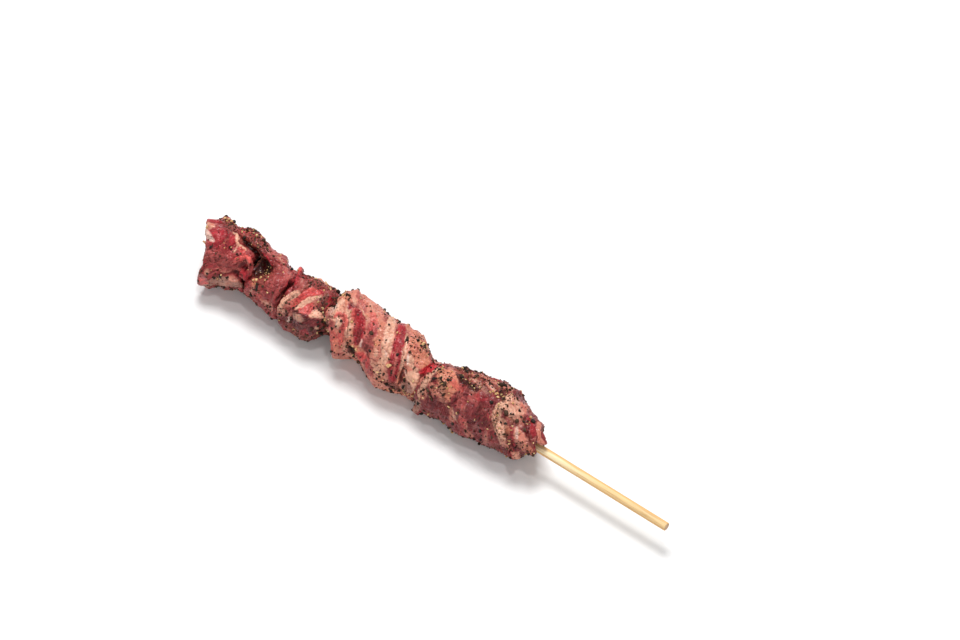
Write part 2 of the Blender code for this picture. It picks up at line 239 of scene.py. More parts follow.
ARCHED_FLAP = Cut("beef_arched_flap", ("lean", "lean", "light_lean"), 0.2, (1.0, -0.15), 23, [
    push(0, 2.3, 8, (26, -17), (32, -16.5)),
    push(0, 1.4, 4, (40, -13)),
    push(0, 1.8, 4.4, (29.6, -15.4)),
    push(0, 1.5, 4, (38.4, -14.4)),
    paint("lean", 7, (12, -13), (20, -14), (27, -13.2)),
    paint("brown", 4, (14, -12), (24, -12), strength=0.5),
    paint("crimson", 3, (12, -13.5), (16, -14), strength=0.8),
    paint("light_lean", 3, (21, -15.2), (26, -14), strength=0.5),
    paint("light_lean", 4.5, (28, -13), (33, -12.5), (37, -10.5), strength=0.55),
    paint("cream_fat", 0.8, (31, -13.8), (34.5, -12), (37, -9.8), strength=0.5),
    paint("cream_fat", 0.7, (28, -12.8), (31.5, -10.8), strength=0.45),
    paint("crimson", 1.2, (30, -12), (34, -9.8), (36.5, -8), strength=0.6),
    paint("lean", 9, (38, -5), (38, 5), strength=0.8),
    paint("purple", 8, (37, -2), (38, 5), strength=0.25),
    paint("light_lean", 2.5, (36.5, -4), (37, 4), strength=0.5),
    paint("light_lean", 2, (40, -6), (40.5, 3), strength=0.45),
    paint("crimson", 3, (43.5, -6.5), (43.3, 3), strength=0.6),
    paint("brown", 4.5, (32, -6.5), (32.5, -2), (32, 2), strength=0.7),
    # Painted shade in the pit under the arch.
    paint("painted_shade", 8, (22, -7.6), (26.5, -6), (28.5, -1)),
    paint("painted_shade", 4, (21.5, -9), (28, -8), (31.5, -6.8)),
    paint("painted_shade", 3, (31, -7), (33, -4), strength=0.6),
    paint("crimson", 1.3, (26, -9.6), (29.5, -8.6), (33, -6.8)),
    paint("orange_fat", 2.2, (29, 2.2), (30.5, 5), strength=0.7),
    paint("crimson", 3.2, (26.8, 4.5), (28.5, 7.5), strength=0.7),
    paint("cream_fat", 1.0, (30.5, 4.5), (31, 8.5), strength=0.6),
    paint("bright", 3, (33, 8), (37, 8.5), strength=0.5),
    paint("pink_fat", 2.2, (36.5, 9.2), (40, 8.6), (43, 9.8), strength=0.75),
    paint("cream_fat", 1.4, (37.5, 8.7), (40.5, 8.8), strength=0.6),
    paint("painted_shade", 1.7, (43.3, -5), (44.3, -2), (43, 2), (42.4, 5.5), strength=0.8),
    relief(-1.4, 5, (24, -7.4), (27.4, -4.6), (28.4, -1)),
    relief(-1.0, 1.5, (43.3, -5.5), (44.3, -2), (43, 2), (42.4, 5.2)),
    relief(-0.5, 1, (29, -12), (34, -10), (37.5, -8.5)),
    relief(-0.5, 0.9, (18, -11), (24.5, -12.5), (28.5, -12)),
    relief(0.4, 1, (31, -13.5), (35.5, -12), (39, -9.5)),
    relief(0.4, 1.4, (26.5, -9.8), (33, -7.2)),
    season(1.0, 6, (11.5, -13.5), (26, -14)),
    season(0.6, 6, (23, -7), (28, -4.5), (31, 1)),
    season(1.0, 3.6, (31, -6.4), (32, -1), (31.6, 5.5)),
    season(0.8, 2, (30, 9.2), (34, 9.6)),
    season(0.6, 2.6, (33, -12), (38, -9)),
    season(0.8, 2.4, (39, 10), (45, 10.5)),
    season(0.2, 7, (37.5, -3), (38, 6)),
])

STRIPED_CUBE = Cut("beef_striped_cube", ("purple", "brown", "lean"), 0.45, (0.91, 0.42), 37, [
    push(0, 1.5, 7, (47.5, -14), (57, -15)),
    push(-3.2, -0.8, 6, (70, 9), (69, 12)),
    push(-1.5, -0.3, 5, (70.4, 6.6)),
    push(0, -1.2, 5, (49.5, 13.4)),
    paint("lean", 5, (47, -11), (56, -11.4), (65, -11), strength=0.8),
    paint("light_lean", 4, (46.8, -8.5), (48.3, -4.5), strength=0.9),
    paint("shaded_dull_fat", 1.2, (47.3, -9.5), (48.5, -6.5), strength=0.5),
    paint("crimson", 2.2, (44.3, -13), (45, -9), (45.8, -5.5)),
    paint("bright", 1.2, (43.9, -13.3), (44.6, -10.5), strength=0.7),
    paint("bright", 4.2, (49, 3.4), (51.2, -2.2), (53.8, -6), (57.2, -8.6)),
    paint("vivid", 1.4, (50.4, 0), (52.6, -4.4), (55.4, -7.4), strength=0.5),
    paint("crimson", 1.4, (56.8, -9.3), (58.8, -7.8)),
    paint("bright", 5, (54.5, 3.5), (57.2, -0.8), strength=0.85),
    paint("pink_fat", 1.5, (57, -3.5), (59.5, -1), strength=0.5),
    paint("cream_fat", 3.0, (45, 8), (46, 3), (47.5, 0), (49.4, -3)),
    paint("pink_fat", 2.4, (47, 6), (48.8, 1.8), strength=0.6),
    paint("cream_fat", 2.5, (52.2, 4), (53.8, -0.2), (55.6, -3.4), (57.8, -6.6)),
    paint("brown", 4, (60.5, -7), (62, -2.5), strength=0.8),
    paint("painted_shade", 3, (60.4, -8.4), (62.4, -3), strength=0.4),
    paint("crimson", 3, (62.5, -9), (64.5, -3), (66, 1)),
    paint("painted_shade", 3, (64.8, -5.4), (65.4, -1), (67.2, 2.4)),
    paint("painted_shade", 1.6, (64, -8.5), (65, -3), strength=0.5),
    paint("purple", 8, (55, 9.5), (64, 8.4)),
    paint("painted_shade", 8, (55, 9.4), (63.4, 8.4), strength=0.65),
    paint("purple", 4, (60, 5.4), (64, 4), strength=0.7),
    paint("cream_fat", 4.0, (59, 3), (61, 1.2), (63.4, 0.4)),
    paint("orange_fat", 1.2, (62, -1.2), (63.8, 0.6), strength=0.6),
    paint("brown", 3, (50, 13), (62, 12.5), strength=0.8),
    paint("crimson", 3.4, (59, 11), (61.5, 10.5), strength=0.7),
    paint("shaded_dull_fat", 2.8, (52, 6.5), (57, 6.8)),
    paint("cream_fat", 1.5, (53.2, 6.2), (56, 6.9), strength=0.6),
    paint("pink_fat", 1.6, (50.3, 6), (51.5, 8.5), strength=0.6),
    paint("pink_fat", 4, (44.5, 9.5), (48.5, 9.5), strength=0.8),
    paint("white_fat", 0.8, (50.4, 12.2), (52.2, 10.8), (51.2, 9.6), (52, 8.2), strength=0.8),
    paint("cream_fat", 2, (45.5, 8.3), (49, 7.4), strength=0.6),
    paint("cream_fat", 2.2, (63.6, 6), (65.2, 6.4), strength=0.8),
    fold(0.8, 4, (64.5, 2.6), (58.6, 4.6), (50, 5.2)),
    relief(-0.4, 0.9, (46.5, 4), (48.8, -1), (52.4, -8)),
    relief(-0.4, 0.9, (50.2, 3.6), (53.7, -2.7), (57.7, -7.6)),
    relief(-0.6, 1.1, (59, -9), (61.3, -4), (64, 0)),
    relief(0.6, 1.7, (44.3, -13), (45, -9), (45.8, -5.8)),
    relief(0.4, 3, (59.5, 2.4), (62.5, 0.8)),
    relief(0.35, 2, (44.9, 7), (46.2, 2.2), (48.8, -2.2)),
    relief(0.3, 1.5, (51.5, 3), (54, -2), (56.8, -6)),
    relief(0.5, 2.7, (54, 8), (60.4, 9.8)),
    season(0.9, 4, (48, -12), (63, -12)),
    season(1.0, 5, (60.5, -7), (62, -2)),
    season(1.0, 5, (66, -8), (66.5, 2), (66, 8)),
    season(0.8, 4, (44.5, 7.5), (49, 9)),
    season(0.35, 5, (49, 2), (53, -3)),
    season(0.8, 2.7, (52.4, 12.5), (62, 12.5)),
    season(0.5, 3, (57, -1), (60, 1)),
    season(0.4, 3, (48, -9), (54, -9.5)),
])

FAT_STRIPED_WRAP = Cut(
    "beef_fat_striped_wrap", ("pink_fat", "light_lean", "orange_fat"), 0.6, (0.93, -0.37), 41, [
    push(0, 1.1, 8, (70, -18), (100, -18)),
    push(0.4, -3.6, 5, (69, 11)),
    push(0, -2.0, 6, (82, 13), (89, 13)),
    push(0, 2.4, 6, (113, -15), (117, -13)),
    push(-0.2, 0.8, 4, (116.4, -11.2)),
    push(0, -1.4, 5, (114, 13)),
    push(0, 0.9, 4, (78.5, 12)),
    push(0.8, 0, 4, (114.5, -6), (114.5, 6)),
    push(0, -1.4, 3, (71, -17)),
    push(0, -0.9, 3, (103, -15)),
    paint("pink_fat", 6, (71, -14.5), (79, -14.5), (86, -13)),
    paint("light_lean", 2.4, (72, -16.5), (76.5, -14), (79, -11.5), strength=0.7),
    paint("light_lean", 2.6, (74.5, -12.5), (71, -10.5), strength=0.8),
    paint("cream_fat", 1.8, (71.2, -13.8), (73.5, -12.4), strength=0.7),
    paint("cream_fat", 1.6, (78.5, -16.5), (81.5, -14.5), (84.5, -13.6), strength=0.5),
    paint("bright", 3.4, (81.5, -13.5), (84, -10.6), (86, -9.6), strength=0.55),
    paint("cream_fat", 5.6, (68, -9.4), (67.8, -5), (70, -1.5)),
    # White streak on a glint: partly white fat, partly painted highlight.
    paint("white_fat", 1.6, (66.3, -7.8), (66.6, -4.4), strength=0.9),
    paint("orange_fat", 2.2, (68.6, -8.6), (69.6, -5.6), strength=0.5),
    paint("shaded_dull_fat", 2.4, (65.4, -6), (66.4, -1), (67.8, 2.4), strength=0.6),
    paint("cream_fat", 3.2, (71.8, -8), (73.5, -4.5), (75.8, -1.2), (78, 2.4)),
    paint("crimson", 2.2, (71.4, -10.2), (72.6, -8.8)),
    paint("bright", 5, (74.6, -9.6), (77.6, -7.2), strength=0.6),
    paint("crimson", 5.2, (76.2, -9.6), (79, -6.2), (81.6, -1.6), (83, 2.4)),
    paint("purple", 2.2, (80.6, -4.6), (82.6, -0.4), (83.4, 2.6), strength=0.7),
    paint("light_lean", 1.2, (77.2, -6), (79.4, -2.2), strength=0.5),
    paint("cream_fat", 0.7, (75.8, -11), (78.4, -10.8), (80.6, -9.4)),
    paint("bright", 2.6, (68.6, -2.6), (70.8, -4.6), (73.6, -2.6), (74.6, 1.4), (76, 5), (78.5, 8.6), strength=0.8),
    paint("bright", 4, (71, 4), (73.4, 7), (75.8, 10.4), strength=0.6),
    paint("orange_fat", 3, (74.4, 6.5), (77.6, 11), strength=0.6),
    # Brown laid where the lobe turns away: painted shade.
    paint("brown", 2.6, (75.2, 0.4), (77.6, 4.2), strength=0.45),
    paint("cream_fat", 2.6, (71, -1.8), (72, 0.8)),
    paint("white_fat", 0.8, (70, -2), (71.3, 1.5), strength=0.6),
    paint("pink_fat", 3, (78.6, 5), (79.6, 9.4), strength=0.8),
    paint("cream_fat", 1.4, (79, 5.4), (79.8, 8.8), strength=0.6),
    paint("brown", 4.4, (80.6, 5.4), (84.6, 7.6), strength=0.6),
    paint("painted_shade", 2.6, (81, 6), (84, 8.2), strength=0.75),
    paint("cream_fat", 1.2, (80.2, 9.3), (83.5, 9.9), strength=0.5),
    paint("bright", 4, (85.6, 7.4), (89.6, 6.2)),
    paint("crimson", 1.2, (86.8, 8.2), (89.4, 5.4), strength=0.5),
    paint("light_lean", 6, (86, -1.5), (88.6, 2.8)),
    paint("light_lean", 5.4, (84.4, -9), (87, -3), strength=0.9),
    paint("crimson", 3.6, (84.6, -8.4), (87, -4), strength=0.45),
    paint("bright", 2, (84, -9.6), (86, -7.6), strength=0.5),
    paint("purple", 1.4, (84.8, -0.6), (86.6, 3.4), strength=0.5),
    paint("white_fat", 0.7, (84.2, -0.4), (85, 2.2), (85.6, 3.6), strength=0.7),
    paint("white_fat", 0.5, (87.6, -9.6), (90.4, -5.4), (90.6, -1.6), strength=0.6),
    paint("orange_fat", 3.6, (88.4, -12), (90, -7), (91.4, -2), strength=0.8),
    paint("cream_fat", 4.6, (90.6, -16.5), (92.4, -10), (95, -3.4), (98, 4)),
    paint("orange_fat", 4.4, (97.5, 5), (100.6, 12.5), strength=0.8),
    paint("cream_fat", 6.4, (94.2, 3.2), (98.4, 9.4), strength=0.65),
    paint("pink_fat", 3.6, (91.6, 1), (94.4, 5)),
    paint("cream_fat", 1.5, (91.6, 0.4), (93, 3.4), strength=0.8),
    # White streak on a glint: partly white fat, partly painted highlight.
    paint("white_fat", 1, (95.4, -1.4), (97.2, 0.8), strength=0.6),
    paint("light_lean", 3.6, (91.6, 8), (95.6, 11)),
    paint("crimson", 1.5, (90, 4), (92.6, 9.6), strength=0.6),
    paint("crimson", 5, (95.6, -16.5), (98, -10), (100.4, -3.6), (102.6, 2.6), (105, 9)),
    paint("vivid", 1.6, (95, -15.4), (97.4, -9), (99.4, -4), strength=0.25),
    paint("purple", 1.2, (97.4, -14), (99.4, -8), (101.6, -2), strength=0.4),
    paint("light_lean", 2, (99.6, -5), (101.6, 0), (104, 6), strength=0.75),
    paint("pink_fat", 0.6, (100.4, -4), (102, 0), (103.8, 5.4), strength=0.45),
    paint("cream_fat", 1.8, (99.8, -13.4), (102.6, -7), (104.8, -1.2), (105.8, 2)),
    paint("orange_fat", 7.6, (104.6, -11.6), (110, -8), (113, -4)),
    paint("pink_fat", 3, (102.6, -13.4), (105.6, -12), strength=0.6),
    paint("light_lean", 2.2, (106.2, -10.8), (108.2, -8.4), strength=0.5),
    paint("cream_fat", 3.2, (106.6, -4.6), (109.2, -1.4)),
    # White streaks on glints: partly white fat, partly painted highlight.
    paint("white_fat", 1.2, (105.4, -4.8), (107.2, -1.2), strength=0.8),
    paint("white_fat", 1.4, (108.2, 1.2), (110.2, 4.6), strength=0.85),
    paint("orange_fat", 2.6, (106.4, 2), (107.6, 8), strength=0.9),
    # Brown laid in the groove: painted shade.
    paint("brown", 1.6, (106.2, 0.6), (107.6, 4.6), (108.2, 8.6), strength=0.8),
    paint("cream_fat", 4.4, (111.2, -0.6), (112.6, 3.4), (114.2, 7)),
    paint("cream_fat", 2.6, (109.6, 2.4), (111, 5.4), strength=0.7),
    paint("shaded_dull_fat", 4, (109.6, 7.4), (114.4, 8.8)),
    paint("brown", 3, (102.6, 10.6), (109.6, 10.8), strength=0.7),
    paint("painted_shade", 2.2, (105, 11.6), (111.4, 10.4), strength=0.5),
    paint("vivid", 3, (113, -1), (115.4, -4.6), (117.6, -8)),
    paint("brown", 3, (108, -12.4), (113, -11.4), strength=0.7),
    fold(0.7, 3, (72.2, -7.6), (75.4, -2), (78.6, 3.4)),
    fold(0.8, 2.6, (84.6, 4.5), (83.8, 0.6), (81.6, -5), (79.4, -8)),
    fold(0.5, 3, (93.4, -15.6), (96.4, -8), (99.6, -0.6), (102.6, 7)),
    fold(0.6, 2.6, (106.6, 8.6), (105.8, 3), (103.4, -4), (100, -12)),
    relief(-0.9, 1.6, (81, 6), (84, 8.2)),
    relief(-1.0, 1.3, (106.2, 1), (107.6, 4.6), (108.4, 9)),
    relief(-0.6, 1, (87.4, 1.4), (90, 6.2), (91, 9.8)),
    relief(-0.6, 0.9, (68.4, -12.4), (73.7, -10.8)),
    relief(-0.6, 0.8, (69.4, -3.4), (71.4, -4.2), (73.2, -2)),
    relief(0.6, 2.2, (67.6, -7.4), (69.3, -2.9)),
    relief(0.7, 2, (71, -1.8), (72, 0.8)),
    relief(0.5, 2.8, (77.3, -8.4), (80.8, -2.7)),
    relief(0.5, 4, (86, -9), (88, -4)),
    relief(0.6, 2.8, (109.4, -5), (113.3, -2)),
    relief(0.7, 3, (112.6, 2.6), (114, 6.2)),
    relief(0.5, 2.6, (109, 1.6), (110.4, 4.6)),
    relief(0.5, 3, (86.5, 6.6), (89, 6)),
    season(1.0, 3, (65.6, -11.6), (69.4, -13.4)),
    season(0.9, 2.7, (65, -7), (66.6, -1), (68, 2)),
    season(0.25, 5, (73, -3), (84, -2)),
    season(0.3, 6, (80, -13), (88, -9)),
    season(0.4, 3, (92, -3), (95, -1)),
    season(0.45, 4, (96, 5), (100, 10)),
    season(1.0, 4, (80.4, 5.6), (84.6, 8)),
    season(0.8, 5, (104, -13.5), (113, -11)),
    season(1.0, 2.8, (102, 11.5), (116.3, 10.6)),
    season(0.8, 3, (107.4, 4.4), (111, 8)),
    season(0.3, 5, (86.6, -1.8), (95.5, 1.8)),
    season(0.8, 3, (112, -11), (116, -8)),
    season(0.5, 6, (102, -10), (110, -6)),
])

HANDLE_ROLL = Cut("beef_handle_roll", ("purple", "lean", "purple"), 0.5, (0.95, -0.25), 53, [
    push(0, 2.6, 7, (116, -13), (131, -16)),
    push(0, 1.1, 8, (136, -18), (170, -14)),
    push(0.5, 1.9, 4.5, (116.8, -11.5)),
    push(-1.9, 2.2, 5, (176, -9.6)),
    push(-0.7, 1.9, 5, (177, -4.8)),
    push(0.2, 0.9, 3, (174.4, -3.4)),
    push(-2.2, 0, 3.5, (176.4, -0.5)),
    push(0, -1.2, 6, (163, 11)),
    push(-0.8, 0, 4, (117.5, -5), (117.5, 6)),
    paint("vivid", 4.2, (113.8, -1), (116.4, -5), (118.4, -7.8), (121.4, -10)),
    paint("pink_fat", 3, (117, 0.6), (116, 3), strength=0.8),
    paint("orange_fat", 9, (122, -6.4), (127, -4), (129.4, 0.6)),
    paint("pink_fat", 4.6, (121, 1), (126.6, 3), strength=0.8),
    paint("cream_fat", 4, (123.4, -5), (127, 1.6), strength=0.3),
    paint("pink_fat", 3.2, (119.4, 4.6), (121, 8.4), strength=0.8),
    paint("cream_fat", 2.2, (121.6, -8), (119.4, -4.6), (118.8, 0), (118.8, 4), (119.2, 8)),
    paint("bright", 3.2, (127.6, -5.4), (133.6, -3.6), strength=0.55),
    paint("orange_fat", 3, (128.6, -0.6), (130.6, 2.6), strength=0.6),
    paint("light_lean", 4.2, (134.6, -1.6), (137.4, 3), strength=0.75),
    paint("purple", 7, (139.6, -1), (144, 2), (150, 3)),
    paint("painted_shade", 5, (144.6, -4.6), (146, 0), (150.4, 4), strength=0.4),
    paint("crimson", 3, (137.4, -3.6), (145, -6), strength=0.6),
    # Pale streak on the dark lean: partly pale fibres, partly painted sheen.
    paint("light_lean", 2.4, (138, -5), (143.6, -1.4), strength=0.45),
    paint("purple", 6.4, (124.6, 8.4), (132.6, 8.6)),
    paint("painted_shade", 5, (124, 9.4), (131, 9.6), strength=0.12),
    paint("pink_fat", 2.6, (134, 5.6), (137.4, 9.8), strength=0.75),
    paint("cream_fat", 0.9, (134, 4.4), (136.4, 7.6), (139.4, 9.6), strength=0.7),
    paint("bright", 3.4, (139.6, 6.6), (143.4, 9.4), strength=0.6),
    # Pale streak on a glint: painted highlight.
    paint("cream_fat", 1.2, (142.4, 7.6), (144.4, 9.2), strength=0.5),
    paint("pink_fat", 2.2, (143.6, 10.4), (148.6, 10.8), strength=0.6),
    paint("lean", 6, (154.4, 5.6), (159.6, 6.8)),
    paint("purple", 4, (154.6, 4.6), (159.6, 6.8), strength=0.6),
    paint("light_lean", 2, (153.6, 6.8), (158.6, 8), strength=0.35),
    paint("shaded_dull_fat", 4, (119.4, 10.4), (121, 14.6)),
    paint("pink_fat", 3, (123.6, -10.6), (131, -11), strength=0.7),
    paint("brown", 5.2, (127, -12), (137.6, -13.4), (148, -14.4)),
    paint("pink_fat", 1.8, (133, -13.4), (142, -15.6), (153, -16.6), strength=0.7),
    paint("cream_fat", 1.2, (134, -10.8), (139.6, -11.4), strength=0.5),
    paint("shaded_dull_fat", 2.6, (138.6, -10.2), (144, -9.6), strength=0.7),
    paint("pink_fat", 2.6, (141.4, -13), (146.4, -12.2)),
    paint("white_fat", 1.6, (142.6, -13.2), (146, -12.4), strength=0.5),
    paint("brown", 3.2, (129, -9.6), (139, -8.6), strength=0.7),
    paint("painted_shade", 3.2, (128.6, -8.6), (134, -8.2), (140, -7.4)),
    paint("painted_shade", 4, (148.6, -13.4), (151.6, -12), (151.4, -9.6), strength=0.8),
    paint("pink_fat", 11, (157, -12.5), (160.6, -8)),
    paint("cream_fat", 10, (157, -12), (159, -7), strength=0.7),
    paint("cream_fat", 4.2, (153.4, -15), (152.4, -9), (152.2, -4), (154.4, 0), (158.4, 3.2), (162, 7.4)),
    paint("orange_fat", 1.6, (151.6, -5), (152.8, -1.6), strength=0.6),
    paint("bright", 2.6, (160, -13), (164, -10.6), strength=0.25),
    paint("cream_fat", 4, (156.6, -8), (158.6, -5.8), strength=0.6),
    paint("orange_fat", 1.4, (155.6, -4.8), (160.4, -5), strength=0.5),
    paint("cream_fat", 3, (155.6, -2.4), (159, 0.8), strength=0.8),
    paint("orange_fat", 2.6, (159.4, -0.8), (161.6, 1.2), strength=0.9),
    paint("pink_fat", 4.6, (164.4, -6), (162, -4.6), strength=0.6),
    paint("pink_fat", 4.8, (163.4, -2), (167, 0.8), (170.4, 3.2)),
    paint("white_fat", 1.6, (163, -2.6), (165.4, 0.6), strength=0.7),
    paint("shaded_dull_fat", 2.4, (165.4, 1.6), (169, 3.4), strength=0.5),
    paint("crimson", 1.3, (160.8, -1.4), (163, 1.6), (166, 4.6)),
    paint("pink_fat", 3, (160, 5.6), (164.6, 8.4), strength=0.8),
    paint("brown", 2.4, (164.6, 6), (166.6, 8), strength=0.7),
    paint("pink_fat", 5, (168.4, 7.6), (170.4, 8)),
    paint("cream_fat", 3.6, (168.4, 7.6), (170, 8), strength=0.5),
    paint("pink_fat", 4, (170.4, -9.8), (173.6, -6), (177, -4)),
    paint("orange_fat", 1.6, (172, -8), (175, -4.6), strength=0.5),
    paint("crimson", 5, (166, -8.2), (168.6, -5), (171, -1.8)),
    paint("painted_shade", 4, (165.4, -7.4), (167.8, -4.6), (170.4, -1.8), strength=0.62),
    paint("vivid", 1.4, (167.4, -7.8), (170.4, -3.4), strength=0.4),
    paint("brown", 1.8, (168.7, -2.7), (172.3, -1), (174, 1), strength=0.7),
    paint("orange_fat", 3, (171.6, 1.6), (174.4, 3.4), strength=0.7),
    fold(0.6, 4, (133.2, 1.6), (130.6, 4.6), (126.4, 5.4), (121.6, 3.4)),
    fold(0.7, 3, (161.6, 7.6), (157.4, 3.6), (153.4, 0.6), (150.8, -4), (151.4, -9.6)),
    fold(0.8, 2.6, (167.6, 5.8), (164.6, 3.6), (161, -1.4)),
    relief(-0.6, 1, (132.6, 3), (134.6, -1.4), (138, -5)),
    relief(-0.8, 1.2, (129, -8.4), (134, -8), (139.4, -7.4)),
    relief(-0.6, 0.9, (155, -4.6), (158.6, -5.2), (161.6, -4)),
    relief(-0.5, 0.8, (143, 8), (146.5, 4.4), (148.3, -1.8)),
    relief(-1.1, 2.4, (149.4, -12.4), (151.4, -10.6)),
    relief(-0.6, 1, (164.6, -9.6), (164.8, -6.4), (168, -3.4), (171, -0.6)),
    relief(-0.9, 1, (166, 6.4), (166.6, 9.4)),
    relief(0.7, 4.5, (122.6, -5.4), (128, -1)),
    relief(0.6, 4, (157.3, -10.4), (160.4, -7.4)),
    relief(0.5, 2.7, (165.2, -0.6), (169.6, 3)),
    relief(0.4, 1.4, (156.7, 0.5), (159.8, 2.2)),
    relief(0.5, 2.7, (128.8, -13.3), (142, -15)),
    relief(0.4, 3.6, (138.5, 1.8), (146.5, 4.4)),
    relief(0.9, 2.6, (168.6, 7.6), (170, 8.2)),
    season(1.0, 7, (120, -7), (123.4, -1), (123, 2)),
    season(0.85, 6, (126, -5), (128, 0)),
    season(0.85, 3, (118.6, 0), (119.6, 8)),
    season(1.0, 6.2, (129.6, -13.3), (153.2, -14.8)),
    season(1.0, 3.5, (129.4, -8.8), (140, -8)),
    season(1.0, 4, (147, -14), (151.4, -10)),
    season(0.3, 7, (136, 0), (151, 4)),
    season(0.8, 3.6, (151.6, -8), (152, -3), (155.4, 1)),
    season(0.35, 4.4, (155.4, -13), (160.7, -8)),
    season(0.7, 3.6, (157, 1), (162, 4), (165, 7)),
    season(0.7, 4.4, (165, 2), (174, 4)),
    season(0.7, 2.7, (162.5, -6.2), (167, -8)),
    season(0.5, 3.5, (118, 9), (121.5, 14)),
    season(0.6, 3, (146, 11), (160, 10)),
    season(0.9, 3, (172.4, 3), (175.4, 4)),
])

CUTS = (TIP_FOLD, ARCHED_FLAP, STRIPED_CUBE, FAT_STRIPED_WRAP, HANDLE_ROLL)


def colour(name, description, red, green, blue):
    return FloatVectorProperty(
        name=name, description=description, default=(red, green, blue),
        subtype="COLOR", size=3, min=0.0, max=1.0,
    )


class KEBAB_PG_beef(PropertyGroup):
    """Sizes and colours of the meat."""

    skin_cell: FloatProperty(
        name="Skin cell", description="Size of the skin's cells", default=0.33 * MM, unit="LENGTH",
        precision=5,
    )
    lumps: FloatProperty(
        name="Lumps", description="Height of the flesh's own lumps", default=0.45 * MM, unit="LENGTH",
        precision=5,
    )
    lean: colour("Lean", "Plain red lean", 0.29, 0.036, 0.038)
    light_lean: colour("Light lean", "Lean with fine pale fibres", 0.42, 0.088, 0.080)
    crimson: colour("Crimson", "Deep red lean", 0.37, 0.022, 0.032)
    bright: colour("Bright lean", "Fresh cut, bright red lean", 0.69, 0.092, 0.082)
    vivid: colour("Vivid lean", "Wet, vivid red lean", 0.56, 0.030, 0.042)
    purple: colour("Dark lean", "Dark, purplish lean", 0.195, 0.026, 0.030)
    # Painted shade: a near-black red laid into pits, creases, under lips and on lower faces where shade falls, and
    # over a few patches of lean to darken them.
    painted_shade: colour("Painted shade", "Painted shade in deep folds, pits and undersides", 0.045, 0.003, 0.004)
    cream_fat: colour("Cream fat", "Cream fat", 0.665, 0.35, 0.245)
    white_fat: colour("White fat", "White sinew and hard fat", 0.72, 0.52, 0.44)
    pink_fat: colour("Pink fat", "Fat stained pink", 0.58, 0.205, 0.150)
    orange_fat: colour("Warm fat", "Warm pink fat", 0.575, 0.198, 0.124)
    # Dull fat whose darkness is partly painted shade, as fat looks on lower faces turned from the light.
    shaded_dull_fat: colour("Dull fat", "Dull fat, partly painted shade", 0.37, 0.175, 0.135)
    brown: colour("Rubbed flesh", "Flesh browned by the spice rub", 0.245, 0.052, 0.038)


class KEBAB_PG_stick(PropertyGroup):
    """Sizes and colours of the bamboo stick."""

    groove: FloatProperty(
        name="Groove", description="Depth of the grooves between fibres", default=0.035 * MM,
        unit="LENGTH", precision=6,
    )
    pale: colour("Pale bamboo", "Pale streaks", 0.93, 0.77, 0.48)
    tan: colour("Tan bamboo", "Darker streaks", 0.84, 0.58, 0.27)
    # Painted shade: the darker, warmer tone laid on the stick's flanks that turn away from the served view.
    flank: colour("Flank", "Flanks darkened as painted shade", 0.74, 0.40, 0.13)
    stain: colour("Stain", "Where meat juice has soaked in", 0.50, 0.21, 0.07)


class KEBAB_PG_pepper(PropertyGroup):
    """Counts and colours of the seasoning."""

    husks: IntProperty(name="Husks", description="Pieces of dark husk", default=2150, min=0)
    cores: IntProperty(name="Cores", description="Pieces of pale core", default=440, min=0)
    cracked: IntProperty(name="Cracked corns", description="Corns broken in two", default=130, min=0)
    whole: IntProperty(name="Whole corns", description="Corns left whole", default=16, min=0)
    dust: IntProperty(name="Dust", description="Grains of ground spice", default=8000, min=0)
    flakes: IntProperty(name="Flakes", description="Flakes of husk and red spice", default=1700, min=0)
    husk: colour("Husk", "Dark husk", 0.020, 0.009, 0.006)
    husk_light: colour("Light husk", "Worn, greyish husk", 0.11, 0.062, 0.038)
    core: colour("Core", "Pale yellow core", 0.93, 0.66, 0.33)
    core_dark: colour("Dark core", "Darker core", 0.66, 0.38, 0.16)
    spice: colour("Spice", "Red-brown spice", 0.30, 0.085, 0.03)


class KEBAB_PG_stage(PropertyGroup):
    """The floor, the light and the view."""

    floor: colour("Floor", "Pale floor", 0.86, 0.86, 0.86)
    sky: FloatProperty(name="Sky", description="Strength of the light from all round", default=0.36)
    view_width: FloatProperty(
        name="View width", description="Width that the view takes in", default=0.426, unit="LENGTH",
    )
    view_distance: FloatProperty(
        name="View distance", description="Distance of the camera", default=5.0, unit="LENGTH",
    )


# Shapes made by numbers: noise, lines and bands.

OCTAVE_TURN = np.array(Matrix.Rotation(0.9, 3, Vector((0.5, 0.7, 0.3))))


def corner_values(corners, seed):
    """A repeatable number from -1 to 1 for each whole-numbered corner."""
    x, y, z = (corners[:, axis].astype(np.int64).astype(np.uint32) for axis in range(3))
    mixed = x * np.uint32(73856093) ^ y * np.uint32(19349663) ^ z * np.uint32(83492791)
    mixed ^= np.uint32(seed * 40503 + 977)
    for shift, factor in ((15, 2246822519), (13, 3266489917), (16, 668265263)):
        mixed ^= mixed >> np.uint32(shift)
        mixed *= np.uint32(factor)
    return mixed / 2.0**31 - 1.0


def lumps(points, seed):
    """Smooth noise from -1 to 1 with lumps one unit across."""
    base = np.floor(points)
    share = points - base
    share = share * share * share * (share * (share * 6 - 15) + 10)
    total = np.zeros(len(points))
    for corner in np.ndindex(2, 2, 2):
        weight = np.ones(len(points))
        for axis, far in enumerate(corner):
            weight *= share[:, axis] if far else 1 - share[:, axis]
        total += weight * corner_values(base + corner, seed)
    return total


def uneven(points, cell, seed, octaves=3):
    """Smooth noise with lumps a cell across and finer ones on them."""
    total = np.zeros(len(points))
    height = 1.0
    scaled = points / cell
    for octave in range(octaves):
        total += height * lumps(scaled, seed + octave)
        scaled = scaled @ OCTAVE_TURN.T * 2.03 + 17.3
        height *= 0.5
    return total


